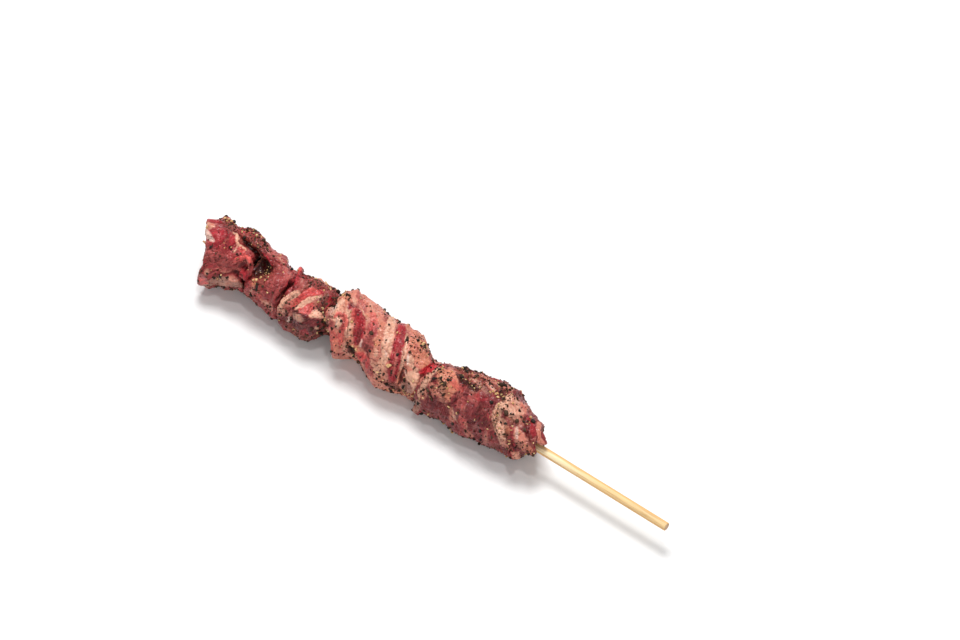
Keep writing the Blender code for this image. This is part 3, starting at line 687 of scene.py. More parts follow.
def rise(low, high, value):
    """From 0 at low to 1 at high, with a smooth start and end."""
    share = np.clip((value - low) / (high - low), 0.0, 1.0)
    return share * share * (3 - 2 * share)


def curve_through(points, steps=5):
    """The points of a smooth line through the given ones."""
    if len(points) < 3:
        return np.array(points, float)
    ends = [points[0], *points, points[-1]]
    line = []
    for before, start, end, after in zip(ends, ends[1:], ends[2:], ends[3:]):
        before, start, end, after = (np.array(p, float) for p in (before, start, end, after))
        for step in range(steps):
            t = step / steps
            bend = (2 * before - 5 * start + 4 * end - after) * t * t
            twist = (3 * start - before - 3 * end + after) * t * t * t
            line.append((2 * start + (end - before) * t + bend + twist) / 2)
    line.append(np.array(points[-1], float))
    return np.array(line)


def distance_to(line, places):
    """Each place's distance from a line, how far along it that is, from 0 to 1, and its side: 1 is the right."""
    nearest = np.full(len(places), np.inf)
    passed = np.zeros(len(places))
    side = np.ones(len(places))
    for step, (start, end) in enumerate(zip(line, line[1:])):
        span = end - start
        share = np.clip((places - start) @ span / max(span @ span, 1e-9), 0.0, 1.0)
        gap = places - start - share[:, None] * span
        distance = np.hypot(gap[:, 0], gap[:, 1])
        closer = distance < nearest
        nearest[closer] = distance[closer]
        passed[closer] = (step + share[closer]) / (len(line) - 1)
        side[closer] = np.where(span[0] * gap[closer, 1] - span[1] * gap[closer, 0] > 0, 1.0, -1.0)
    return nearest, passed, side


def near_line(mark, places, reach):
    """(indices, distance, passed, side) of the places within reach of a mark's line."""
    corners = np.array(mark.points)
    near = ((places > corners.min(0) - reach) & (places < corners.max(0) + reach)).all(axis=1)
    index = np.flatnonzero(near)
    line = curve_through(mark.points if len(mark.points) > 1 else mark.points * 2)
    return index, *distance_to(line, places[index])


def lip(mark, places):
    """(indices, lift, shade) of a fold: a sharp step at its line that eases off to the right, in shade on the left."""
    index, distance, passed, side = near_line(mark, places, mark.width)
    fade = 1 - np.abs(2 * passed - 1) ** 3
    across = distance * side
    lift = rise(-0.3, 0.15, across) * (1 - rise(0.15, mark.width, across))
    below = 1 - rise(0.0, 0.7, -across)
    below[across > 0] = 0.0
    return index, mark.amount * fade * (lift - 0.35 * below), fade * below * min(mark.amount, 1.0)


def band(mark, places):
    """(indices, share) of the places in a mark's band: 1 along its line and 0 past its edge."""
    soft = {"paint": 0.15 + 0.06 * mark.width, "season": 0.9 + 0.5 * mark.width}.get(mark.kind, 0.5 * mark.width)
    half = mark.width / 2
    index, distance, passed, _ = near_line(mark, places, half + soft)
    if mark.kind in ("paint", "relief") and len(mark.points) > 1:
        half = half * (1 - TAPER * np.abs(2 * passed - 1) ** 2.5)
    return index, 1 - rise(half - soft, half + soft, distance)


# Meshes and materials.


def select_only(obj):
    bpy.ops.object.select_all(action="DESELECT")
    obj.select_set(True)
    bpy.context.view_layer.objects.active = obj


def numbers(elements, name, width, kind=np.float64):
    """The named value of all the elements as an array."""
    values = np.empty(len(elements) * width, kind)
    elements.foreach_get(name, values)
    return values.reshape(-1, width) if width > 1 else values


def write_attribute(mesh, name, values):
    """Keeps a number, place or colour for each vertex."""
    width = 1 if values.ndim == 1 else values.shape[1]
    kind = {1: "FLOAT", 3: "FLOAT_VECTOR", 4: "FLOAT_COLOR"}[width]
    attribute = mesh.attributes.new(name, kind, "POINT")
    attribute.data.foreach_set({1: "value", 3: "vector", 4: "color"}[width], values.astype(np.float32).ravel())


def new_tree(name):
    """A new material's node tree, empty but for its output."""
    material = bpy.data.materials.new(name)
    material.use_nodes = True
    tree = material.node_tree
    tree.nodes.clear()
    return material, tree


def add(tree, kind, inputs=None, **settings):
    """Adds a node. An input is a number, a colour or another node's output."""
    node = tree.nodes.new(kind)
    for key, value in settings.items():
        setattr(node, key, value)
    for key, value in (inputs or {}).items():
        if isinstance(value, bpy.types.NodeSocket):
            tree.links.new(value, node.inputs[key])
        else:
            node.inputs[key].default_value = value
    return node


def blend(tree, factor, first, second, mode="MIX"):
    """The colour between two colours."""
    node = add(tree, "ShaderNodeMix", data_type="RGBA", blend_type=mode)
    for socket, value in ((0, factor), (6, first), (7, second)):
        if isinstance(value, bpy.types.NodeSocket):
            tree.links.new(value, node.inputs[socket])
        else:
            node.inputs[socket].default_value = value
    return node.outputs[2]


def calc(tree, operation, first, second=0.0, third=0.0, clamp=False):
    node = add(
        tree, "ShaderNodeMath", {0: first, 1: second, 2: third}, operation=operation, use_clamp=clamp,
    )
    return node.outputs[0]


def ramp(tree, value, low, high, start=0.0, end=1.0):
    """The value spread from start at low to end at high."""
    node = add(
        tree, "ShaderNodeMapRange",
        {"Value": value, "From Min": low, "From Max": high, "To Min": start, "To Max": end},
        interpolation_type="SMOOTHSTEP",
    )
    return node.outputs[0]


def noise(tree, vector, scale, detail=3.0, roughness=0.55, distortion=0.0):
    node = add(
        tree, "ShaderNodeTexNoise",
        {"Vector": vector, "Scale": scale, "Detail": detail, "Roughness": roughness, "Distortion": distortion},
    )
    return node.outputs["Fac"]


def attribute(tree, name):
    return add(tree, "ShaderNodeAttribute", attribute_name=name)


def bump(tree, height, distance, strength=1.0, normal=None):
    node = add(tree, "ShaderNodeBump", {"Height": height, "Distance": distance, "Strength": strength})
    if normal:
        tree.links.new(normal, node.inputs["Normal"])
    return node.outputs[0]


def finish_material(tree, **inputs):
    """Adds the surface shader and the output."""
    named = {key.replace("_", " ").title().replace("Ior", "IOR"): value for key, value in inputs.items()}
    shader = add(tree, "ShaderNodeBsdfPrincipled", named)
    add(tree, "ShaderNodeOutputMaterial", {"Surface": shader.outputs[0]})


def opaque(rgb):
    return (*rgb, 1.0)


def raw_beef_material():
    """Wet flesh: each skin's own tones, with finer fibres, flecks and juice over them."""
    material, tree = new_tree("raw_beef")
    place = add(tree, "ShaderNodeTexCoord").outputs["Object"]
    flesh = attribute(tree, "flesh").outputs["Color"]
    fat = attribute(tree, "fat").outputs["Fac"]
    rub = attribute(tree, "season").outputs["Fac"]
    grain = attribute(tree, "grain").outputs["Vector"]

    lean = calc(tree, "SUBTRACT", 1.0, fat, clamp=True)
    mottle = noise(tree, place, 900, 4.0, 0.62)
    fine = noise(tree, place, 2600, 3.0, 0.6)
    streaks = noise(tree, grain, 2.1, 3.0, 0.6, 0.4)
    threads = noise(tree, grain, 5.2, 2.0, 0.5)

    toned = blend(tree, ramp(tree, mottle, 0.34, 0.66), (0.90, 0.85, 0.85, 1), (1.09, 1.13, 1.11, 1))
    body = blend(tree, 1.0, flesh, toned, "MULTIPLY")
    pale_thread = calc(tree, "MULTIPLY", ramp(tree, streaks, 0.50, 0.68), lean)
    body = blend(tree, calc(tree, "MULTIPLY", pale_thread, 0.22), body, (0.68, 0.24, 0.19, 1))
    dark_thread = calc(tree, "MULTIPLY", ramp(tree, threads, 0.52, 0.36), lean)
    body = blend(tree, calc(tree, "MULTIPLY", dark_thread, 0.45), body, (0.09, 0.008, 0.010, 1))
    stained = calc(tree, "MULTIPLY", ramp(tree, noise(tree, place, 420, 3.0, 0.6), 0.52, 0.74), fat)
    body = blend(tree, calc(tree, "MULTIPLY", stained, 0.16), body, (0.54, 0.12, 0.095, 1))

    specks = add(tree, "ShaderNodeTexVoronoi", {"Vector": place, "Scale": 1500.0})
    dots = ramp(tree, specks.outputs["Distance"], 0.30, 0.16)
    chosen = ramp(tree, add(tree, "ShaderNodeSeparateColor", {0: specks.outputs["Color"]}).outputs[0], 0.66, 0.60)
    dust = calc(tree, "MULTIPLY", calc(tree, "MULTIPLY", dots, chosen), ramp(tree, rub, 0.12, 0.9))
    body = blend(tree, calc(tree, "MULTIPLY", dust, 0.55), body, (0.09, 0.045, 0.03, 1))

    wet = noise(tree, place, 330, 3.0, 0.6)
    roughness = calc(tree, "ADD", ramp(tree, wet, 0.35, 0.68, 0.24, 0.46), calc(tree, "MULTIPLY", rub, 0.12))
    height = calc(tree, "ADD", calc(tree, "MULTIPLY", fine, 0.45), calc(tree, "MULTIPLY", mottle, 0.8))
    height = calc(tree, "ADD", height, calc(tree, "MULTIPLY", calc(tree, "MULTIPLY", streaks, lean), 0.7))
    finish_material(
        tree, base_color=body, roughness=roughness, normal=bump(tree, height, 0.00030, 0.8),
        subsurface_weight=0.12, subsurface_radius=(1.0, 0.22, 0.14), subsurface_scale=0.0014,
        coat_weight=0.15, coat_roughness=0.07, ior=1.27,
    )
    return material


def bamboo_material(settings):
    """Dry bamboo: long fine fibres, dark dots on the cut end, juice soaked in by the meat and painted shade on its
    flanks.
    """
    material, tree = new_tree("bamboo")
    place = add(tree, "ShaderNodeTexCoord").outputs["Object"]
    stretched = add(tree, "ShaderNodeMapping", {"Vector": place, "Scale": (0.035, 1.0, 1.0)}).outputs[0]
    streaks = noise(tree, stretched, 1500, 4.0, 0.6)
    wide = noise(tree, stretched, 520, 2.0, 0.5)
    body = blend(tree, ramp(tree, wide, 0.38, 0.62), opaque(settings.tan), opaque(settings.pale))
    body = blend(tree, calc(tree, "MULTIPLY", ramp(tree, streaks, 0.52, 0.34), 0.55), body, (0.42, 0.22, 0.075, 1))
    flecks = noise(tree, stretched, 4200, 2.0, 0.5)
    body = blend(tree, calc(tree, "MULTIPLY", ramp(tree, flecks, 0.66, 0.74), 0.5), body, (0.22, 0.11, 0.045, 1))
    dots = add(tree, "ShaderNodeTexVoronoi", {"Vector": place, "Scale": 2300.0}).outputs["Distance"]
    end = blend(tree, ramp(tree, dots, 0.34, 0.18), (0.60, 0.36, 0.19, 1), (0.24, 0.11, 0.05, 1))
    # Painted shade on the flanks that turn away from the served view.
    body = blend(tree, attribute(tree, "painted_flank_shade").outputs["Fac"], body, opaque(settings.flank))
    body = blend(tree, attribute(tree, "cut_end").outputs["Fac"], body, end)
    body = blend(tree, attribute(tree, "soaked").outputs["Fac"], body, opaque(settings.stain))
    roughness = ramp(tree, streaks, 0.3, 0.7, 0.62, 0.48)
    finish_material(
        tree, base_color=body, roughness=roughness, normal=bump(tree, streaks, 0.00012, 0.7),
        subsurface_weight=0.06, subsurface_radius=(1.0, 0.7, 0.4), subsurface_scale=0.0006,
    )
    return material


def grain_material(name, dark, light, scale, roughness):
    """A dry grain: each one its own shade, mottled finely, with a dark husk where it still has one."""
    material, tree = new_tree(name)
    place = add(tree, "ShaderNodeTexCoord").outputs["Object"]
    shade = attribute(tree, "shade").outputs["Fac"]
    body = blend(tree, shade, opaque(dark), opaque(light))
    mottle = noise(tree, place, scale, 3.0, 0.6)
    body = blend(tree, ramp(tree, mottle, 0.36, 0.66), body, (0.62, 0.58, 0.56, 1), "MULTIPLY")
    body = blend(tree, attribute(tree, "husk").outputs["Fac"], body, (0.030, 0.022, 0.018, 1))
    finish_material(
        tree, base_color=body, roughness=ramp(tree, mottle, 0.3, 0.7, roughness, roughness + 0.2),
        normal=bump(tree, mottle, 0.0002, 0.9), specular_ior_level=0.12,
    )
    return material


# The meat.


class Skin:
    """The skin of one cut while it is carved: its places in millimetres from the stick's point, and their looks."""

    def __init__(self, cut, mesh, settings):
        self.cut = cut
        self.mesh = mesh
        self.settings = settings
        places = numbers(mesh.vertices, "co", 3)
        self.places = (places - np.array(STICK_POINT)) / MM
        self.normals = numbers(mesh.vertices, "normal", 3)
        self.shown = rise(-0.10, 0.16, self.normals @ np.array(SERVED))
        self.plane = np.stack([self.places @ np.array(ALONG), self.places @ np.array(DOWN)], axis=1)
        self.stacked = np.array((ALONG * cut.stacked[0] + DOWN * cut.stacked[1]).normalized())
        drift = np.stack([uneven(self.places, 3.0, cut.seed + k, 3) for k in (1, 2)], axis=1)
        frayed = uneven(self.in_sheets(0.25), 0.8, cut.seed + 3, 2)
        self.drifted = self.plane + 0.4 * drift + 0.26 * frayed[:, None]

    def in_sheets(self, run):
        """The places, drawn together along the sheets, so that a noise over them runs in streaks."""
        through = (self.places @ self.stacked)[:, None] * self.stacked
        return self.places * run + through * (1 - run)

    def tone(self, name):
        return np.array(getattr(self.settings, name))

    def tint(self, name, share):
        """Moves the colour towards a tone, and says there whether it is fat."""
        self.flesh += (self.tone(name) - self.flesh) * share[:, None]
        self.fat += (name.endswith("_fat") - self.fat) * share

    def lay_base(self):
        """The cut's own mottled lean with bands of fat, heavier where no mark will show."""
        cut = self.cut
        across = self.in_sheets(0.3)
        mottle = uneven(self.places, 6.0, cut.seed + 5)
        self.flesh = np.tile(self.tone(cut.tones[0]), (len(self.places), 1))
        self.fat = np.full(len(self.places), float(cut.tones[0].endswith("_fat")))
        self.tint(cut.tones[1], rise(0.0, 0.7, mottle))
        self.tint(cut.tones[2], rise(0.1, 0.7, -mottle))
        marbling = uneven(across, 5.5, cut.seed + 8) + 1.1 * (cut.fat - 0.5)
        hidden = 1 - 0.75 * self.shown
        self.tint("pink_fat", hidden * rise(0.0, 0.35, marbling))
        self.tint("cream_fat", hidden * rise(0.35, 0.6, marbling))
        veins = 1 - np.abs(uneven(across, 4.5, cut.seed + 13, 2)) / 0.10
        self.tint("cream_fat", 0.55 * hidden * np.clip(veins, 0, 1))
        red = uneven(across, 4.0, cut.seed + 21)
        self.tint("crimson", 0.7 * hidden * rise(0.35, 0.75, red) * (1 - 0.6 * self.fat))
        clumps = rise(-0.1, 0.9, uneven(self.places, 9.0, cut.seed + 31))
        self.rub = 0.16 + 0.74 * clumps * hidden
        self.tint("brown", 0.5 * hidden * clumps)

    def lay_marks(self):
        self.lift = np.zeros(len(self.places))
        self.pushed = np.zeros((len(self.places), 2))
        for mark in self.cut.marks:
            if mark.kind == "push":
                index, share = band(mark, self.plane)
                self.pushed[index] += share[:, None] * np.array(mark.way)
                continue
            if mark.kind == "fold":
                index, lift, shade = lip(mark, self.drifted)
                self.lift[index] += lift * self.shown[index]
                # Painted shade below the lip, on its left side.
                whole = np.zeros(len(self.places))
                whole[index] = 0.8 * shade * self.shown[index]
                self.tint("painted_shade", whole)
                continue
            index, share = band(mark, self.drifted)
            share = share * self.shown[index]
            if mark.kind == "paint":
                whole = np.zeros(len(self.places))
                whole[index] = share * mark.amount
                self.tint(mark.tone, whole)
            elif mark.kind == "relief":
                self.lift[index] += share * mark.amount
                # A sunken relief gets painted shade in its groove.
                if mark.amount < 0:
                    whole = np.zeros(len(self.places))
                    whole[index] = 0.65 * rise(0.4, 1.0, share) * min(-mark.amount, 1.0)
                    self.tint("painted_shade", whole)
            else:
                self.rub[index] = np.maximum(self.rub[index], share * mark.amount)

    def carve(self):
        """Lifts the skin by its marks, lumps, folds and fibres, and paints shade into its hollows and light onto its
        raised flesh.
        """
        cut = self.cut
        height = self.settings.lumps / MM
        big = uneven(self.places, 4.6, cut.seed + 41)
        folds = np.abs(uneven(self.places, 2.6, cut.seed + 47, 2))
        small = uneven(self.places, 1.1, cut.seed + 53, 2)
        threads = uneven(self.in_sheets(0.16), 0.9, cut.seed + 59, 2)
        rub = self.rub * uneven(self.places, 0.8, cut.seed + 61, 2)
        self.lift += height * (big - 0.2 - 0.9 * rise(0.22, 0.0, folds))
        self.lift += 0.15 * small + 0.13 * threads * (1 - 0.7 * self.fat) + 0.12 * self.fat + 0.12 * rub
        # Painted shade: the hollows of the relief are darkened towards the near-black red.
        painted_hollow_shade = rise(0.15, 1.3, -self.lift)
        self.tint("painted_shade", 0.5 * painted_hollow_shade * (1 - 0.5 * self.fat))
        self.tint("crimson", 0.35 * rise(0.14, 0.0, folds) * (1 - painted_hollow_shade))
        # The colour varies with the lumps and threads, and with the relief's height: painted light on raised flesh,
        # painted shade in hollows.
        light = 1 + 0.09 * small + 0.18 * threads * (1 - self.fat) + 0.16 * np.clip(self.lift, -1, 1)
        self.flesh *= light[:, None]
        self.lift *= rise(-0.2, FLOOR_FADE, self.places[:, 2] + STICK_POINT.z / MM)

    def place(self):
        """Puts the skin in its place: on the stick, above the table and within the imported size."""
        shift = self.pushed[:, :1] * np.array(ALONG) + self.pushed[:, 1:] * np.array(DOWN)
        moved = self.places + self.normals * self.lift[:, None] + shift
        radius = np.hypot(self.places[:, 1], self.places[:, 2])
        grips = radius < BORE
        moved[grips, 1:] = self.places[grips, 1:] * (GRIP / np.maximum(radius[grips], 0.1))[:, None]
        low, high = ((np.array(corner) - np.array(STICK_POINT)) / MM for corner in CAD_BOX)
        slack = np.array((BOX_SLACK, BOX_SLACK, 0.0))
        moved = np.clip(moved, low - slack, high + BOX_SLACK)
        self.places = moved
        self.mesh.vertices.foreach_set("co", (moved * MM + np.array(STICK_POINT)).ravel())
        self.mesh.update()

    def keep_looks(self):
        """Keeps the looks on the mesh, for the material and for strewing the seasoning."""
        colours = np.ones((len(self.flesh), 4))
        colours[:, :3] = np.clip(self.flesh, 0.0, 1.0)
        wander = np.stack([uneven(self.places, 5.0, self.cut.seed + 70 + k, 1) for k in range(3)], axis=1)
        self.places = self.places + 0.8 * wander
        grain = self.in_sheets(0.13)
        write_attribute(self.mesh, "flesh", colours)
        write_attribute(self.mesh, "fat", np.clip(self.fat, 0, 1))
        write_attribute(self.mesh, "season", self.rub)
        write_attribute(self.mesh, "grain", grain)


def fine_copy(node, name, cell):
    """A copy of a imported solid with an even, fine skin."""
    mesh = frame["nodes"][node].data.copy()
    mesh.materials.clear()
    obj = bpy.data.objects.new(name, mesh)
    bpy.context.scene.collection.objects.link(obj)
    select_only(obj)
    bpy.ops.object.mode_set(mode="EDIT")
    bpy.ops.mesh.select_all(action="SELECT")
    bpy.ops.mesh.remove_doubles(threshold=0.00001)
    bpy.ops.object.mode_set(mode="OBJECT")
    remesh = obj.modifiers.new("skin", "REMESH")
    remesh.mode = "VOXEL"
    remesh.voxel_size = cell
    bpy.ops.object.modifier_apply(modifier=remesh.name)
    smooth = obj.modifiers.new("soften", "SMOOTH")
    smooth.factor = 0.5
    smooth.iterations = 10
    bpy.ops.object.modifier_apply(modifier=smooth.name)
    bpy.ops.object.shade_smooth()
    return obj


def skin_name(cut):
    return cut.node.replace("beef_", "") + "_flesh"


class KEBAB_OT_beef(Operator):
    """Build the five cuts of beef"""

    bl_idname = "kebab.beef"
    bl_label = "Beef cuts"

    def execute(self, context):
        settings = context.scene.kebab_beef
        material = raw_beef_material()
        cell = settings.skin_cell * 1.0
        for cut in CUTS:
            obj = fine_copy(cut.node, skin_name(cut), cell)
            skin = Skin(cut, obj.data, settings)
            skin.lay_base()
            skin.lay_marks()
            skin.carve()
            skin.place()
            skin.keep_looks()
            obj.data.materials.append(material)
            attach(obj, "root")
            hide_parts(cut.node)
        return {"FINISHED"}


# The stick.

STICK_SIDES = 64
STICK_STEP = 2.0 * MM
POINT_LENGTH = 14.0 * MM
POINT_RADIUS = 0.35 * MM
END_CHAMFER = 0.25 * MM
SOAKED_TO = 0.183  # meat juice has soaked in up to here along the stick


def stick_radius(along):
    """The stick's radius a distance from its point: a slim point and a lightly broken edge at the end."""
    taper = min(along / POINT_LENGTH, 1.0)
    radius = POINT_RADIUS + (STICK_RADIUS - POINT_RADIUS) * math.sin(taper * math.pi / 2)
    return min(radius, STICK_RADIUS - END_CHAMFER + (STICK_LENGTH - along))


def stick_stops():
    """How far along the stick its rings lie, closer together on the point."""
    point = [POINT_LENGTH * (step / 12) ** 1.5 for step in range(12)]
    count = round((STICK_LENGTH - POINT_LENGTH) / STICK_STEP)
    shaft = [POINT_LENGTH + (STICK_LENGTH - END_CHAMFER - POINT_LENGTH) * k / count for k in range(count + 1)]
    return point + shaft + [STICK_LENGTH]


class KEBAB_OT_stick(Operator):
    """Build the bamboo stick"""

    bl_idname = "kebab.stick"
    bl_label = "Bamboo stick"

    def execute(self, context):
        settings = context.scene.kebab_stick
        stops = stick_stops()
        bpy.ops.object.select_all(action="DESELECT")
        bpy.ops.mesh.primitive_circle_add(
            vertices=STICK_SIDES, radius=stick_radius(0), fill_type="NGON", location=STICK_POINT,
            rotation=(0, math.pi / 2, 0),
        )
        obj = context.active_object
        obj.name = "bamboo_stick_shaft"
        bpy.ops.object.mode_set(mode="EDIT")
        bpy.ops.mesh.select_all(action="SELECT")
        for before, stop in zip(stops, stops[1:]):
            bpy.ops.mesh.extrude_region_move(TRANSFORM_OT_translate={"value": (stop - before, 0, 0)})
            growth = stick_radius(stop) / stick_radius(before)
            bpy.ops.transform.resize(value=(1, growth, growth), center_override=STICK_POINT)
        bpy.ops.mesh.inset(thickness=0.12 * MM)
        bpy.ops.mesh.inset(thickness=0.7 * MM)
        bpy.ops.mesh.select_all(action="SELECT")
        bpy.ops.mesh.normals_make_consistent(inside=False)
        bpy.ops.object.mode_set(mode="OBJECT")
        bpy.ops.object.transform_apply(location=True, rotation=True, scale=True)
        self.groove(obj.data, settings.groove / MM)
        bpy.ops.object.shade_smooth_by_angle(angle=math.radians(35))
        obj.data.materials.append(bamboo_material(settings))
        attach(obj, "root")
        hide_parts("bamboo_stick")
        return {"FINISHED"}

    def groove(self, mesh, depth):
        """Sinks fine grooves between the fibres and says where the stick is cut and soaked, and where its flanks get
        painted shade.
        """
        places = (numbers(mesh.vertices, "co", 3) - np.array(STICK_POINT)) / MM
        radius = np.hypot(places[:, 1], places[:, 2])
        end = STICK_LENGTH / MM
        flank = (radius > 0.3) & (places[:, 0] < end - 0.05)
        around = places[:, 1:] / np.maximum(radius, 0.01)[:, None] * 2.0
        fibres = uneven(np.column_stack([places[:, 0] / 45, around]), 0.45, 5, 2)
        places[flank, 1:] *= (1 - depth * np.clip(-fibres, 0, 1) / np.maximum(radius, 0.3))[flank, None]
        mesh.vertices.foreach_set("co", (places * MM + np.array(STICK_POINT)).ravel())
        mesh.update()
        cut_end = (places[:, 0] > end - 0.05) & (radius < STICK_RADIUS / MM - 0.3)
        soaked = rise(SOAKED_TO / MM + 8, SOAKED_TO / MM, places[:, 0] + 3 * fibres)
        write_attribute(mesh, "cut_end", cut_end.astype(float))
        point = rise(9, 3, places[:, 0])
        write_attribute(mesh, "soaked", np.maximum(0.55 * soaked, 0.65 * point))
        # Painted shade on the flanks: how far each place turns up or down, across the served view.
        across = around @ np.array((DOWN.y, DOWN.z)) / 2.0
        write_attribute(mesh, "painted_flank_shade", 0.9 * rise(0.42, 0.85, np.abs(across)))


# The seasoning.


@dataclass
class Shape:
    """A grain's shape: its corners, about one unit across, its triangles and how much husk each corner has."""

    corners: np.ndarray
    triangles: np.ndarray
    husk: np.ndarray


def rough_shape(seed, fineness, cuts, flatness, wrinkle):
    """A broken grain: a ball with pieces cut off it, wrinkled and flattened."""
    chance = np.random.default_rng(seed)
    bpy.ops.object.select_all(action="DESELECT")
    bpy.ops.mesh.primitive_ico_sphere_add(subdivisions=fineness, radius=0.5)
    obj = bpy.context.active_object
    bpy.ops.object.mode_set(mode="EDIT")
    for _ in range(cuts):
        bpy.ops.mesh.select_all(action="SELECT")
        normal = Vector(chance.normal(size=3)).normalized()
        bpy.ops.mesh.bisect(
            plane_co=normal * chance.uniform(0.05, 0.30), plane_no=normal, use_fill=True, clear_outer=True,
        )
    bpy.ops.mesh.select_all(action="SELECT")
    bpy.ops.mesh.quads_convert_to_tris()
    bpy.ops.object.mode_set(mode="OBJECT")
    mesh = obj.data
    corners = numbers(mesh.vertices, "co", 3)
    triangles = numbers(mesh.polygons, "vertices", 3, np.int32)
    husk = rise(0.455, 0.485, np.linalg.norm(corners, axis=1))
    corners = corners - corners.mean(axis=0)
    corners *= (1 + wrinkle * uneven(corners, 0.28, seed, 2))[:, None]
    corners /= np.abs(corners).max() * 2
    corners[:, 2] *= flatness
    bpy.data.objects.remove(obj)
    return Shape(corners, triangles, husk)


@dataclass
class Kind:
    """One kind of seasoning: its shapes, its sizes in millimetres and where it gathers."""

    name: str
    shapes: list
    smallest: float
    largest: float
    gather: float
    sunk: float
    husk: float
    placed: tuple = ()


class Ground:
    """The carved skins, ready to be strewn on."""

    def __init__(self):
        corners, triangles, rubs, start = [], [], [], 0
        for cut in CUTS:
            mesh = bpy.data.objects[skin_name(cut)].data
            mesh.calc_loop_triangles()
            corners.append(numbers(mesh.vertices, "co", 3))
            triangles.append(numbers(mesh.loop_triangles, "vertices", 3, np.int32) + start)
            rubs.append(numbers(mesh.attributes["season"].data, "value", 1))
            start += len(mesh.vertices)
        self.corners = np.concatenate(corners)
        self.triangles = np.concatenate(triangles)
        rub = np.concatenate(rubs)[self.triangles].mean(axis=1)
        a, b, c = (self.corners[self.triangles[:, k]] for k in range(3))
        cross = np.cross(b - a, c - a)
        self.area = np.linalg.norm(cross, axis=1) / 2
        self.normals = cross / np.maximum(2 * self.area, 1e-15)[:, None]
        self.rub = rub
        self.tree = BVHTree.FromPolygons(self.corners.tolist(), self.triangles.tolist())

    def open_to_air(self, place, normal):
        """True where a grain can lie: clear of the stick, the table and the next fold."""
        radius = math.hypot(place.y - STICK_POINT.y, place.z - STICK_POINT.z)
        if radius < 3.5 * MM or place.z < 0.8 * MM:
            return False
        return self.tree.ray_cast(place + normal * 0.05 * MM, normal, 2.2 * MM)[0] is None

    def strewn(self, kind, count, chance):
        """(places, normals) for a count of grains, thicker where the rub is thicker."""
        weight = self.area * (0.03 + self.rub**kind.gather)
        picks = chance.choice(len(weight), size=int(count * 2.2), p=weight / weight.sum())
        share = np.sqrt(chance.random(len(picks)))
        side = chance.random(len(picks))
        a, b, c = (self.corners[self.triangles[picks, k]] for k in range(3))
        mixed = a * (1 - share)[:, None] + (b * (1 - side)[:, None] + c * side[:, None]) * share[:, None]
        kept = []
        for place, normal in zip(mixed, self.normals[picks]):
            if len(kept) == count:
                break
            if self.open_to_air(Vector(place), Vector(normal)):
                kept.append((place, normal))
        return [np.array(rows) for rows in zip(*kept)]

    def seen_at(self, along, down):
        """(place, normal) of the skin at a place on the served side."""
        start = STICK_POINT + (ALONG * along + DOWN * down) * MM + SERVED * 0.1
        place, normal, _, _ = self.tree.ray_cast(start, -SERVED)
        return place, normal


# No grain stands out past this: the tip end, the front and just above the table.
OUTERMOST = np.array((-131.2, -18.5, 0.1)) * MM


def strew(kind, ground, count, material, seed):
    """Makes one mesh of all the grains of a kind."""
    chance = np.random.default_rng(seed)
    places, normals = ground.strewn(kind, count, chance)
    sizes = kind.smallest + (kind.largest - kind.smallest) * chance.random(len(places)) ** 1.8
    for along, down, size in kind.placed:
        place, normal = ground.seen_at(along, down)
        if place is not None:
            places = np.vstack([places, place])
            normals = np.vstack([normals, normal])
            sizes = np.append(sizes, size)
    total = len(places)
    turn = chance.random(total) * math.tau
    lean = normals + 0.28 * chance.normal(size=(total, 3))
    lean /= np.linalg.norm(lean, axis=1)[:, None]
    side = np.cross(lean, np.where(np.abs(lean[:, :1]) < 0.7, (1.0, 0, 0), (0, 1.0, 0)))
    side /= np.linalg.norm(side, axis=1)[:, None]
    other = np.cross(lean, side)
    first = side * np.cos(turn)[:, None] + other * np.sin(turn)[:, None]
    second = np.cross(lean, first)
    stretch = chance.uniform((0.5, 0.8), (1.0, 1.25), size=(total, 2))
    picks = chance.integers(len(kind.shapes), size=total)
    shades = chance.random(total)
    corners, triangles, shade, husk, start = [], [], [], [], 0
    for k in range(total):
        shape = kind.shapes[picks[k]]
        size = sizes[k] * MM
        local = shape.corners * size
        thick = np.ptp(local[:, 2])
        base = places[k] + normals[k] * thick * (0.5 - kind.sunk)
        spread = local[:, :1] * stretch[k, 0] * first[k] + local[:, 1:2] * stretch[k, 1] * second[k]
        spots = base + spread + local[:, 2:] * lean[k]
        spots += np.maximum(0.0, OUTERMOST - spots.min(axis=0))
        corners.append(spots)
        triangles.append(shape.triangles + start)
        shade.append(np.full(len(local), shades[k]))
        husk.append(shape.husk * kind.husk)
        start += len(local)
    mesh = bpy.data.meshes.new(kind.name)
    mesh.from_pydata(np.concatenate(corners).tolist(), [], np.concatenate(triangles).tolist())
    write_attribute(mesh, "shade", np.concatenate(shade))
    write_attribute(mesh, "husk", np.concatenate(husk))
    mesh.materials.append(material)
    obj = bpy.data.objects.new(kind.name, mesh)
    bpy.context.scene.collection.objects.link(obj)
    select_only(obj)
    bpy.ops.object.shade_smooth_by_angle(angle=math.radians(40))
    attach(obj, "root")
    return obj


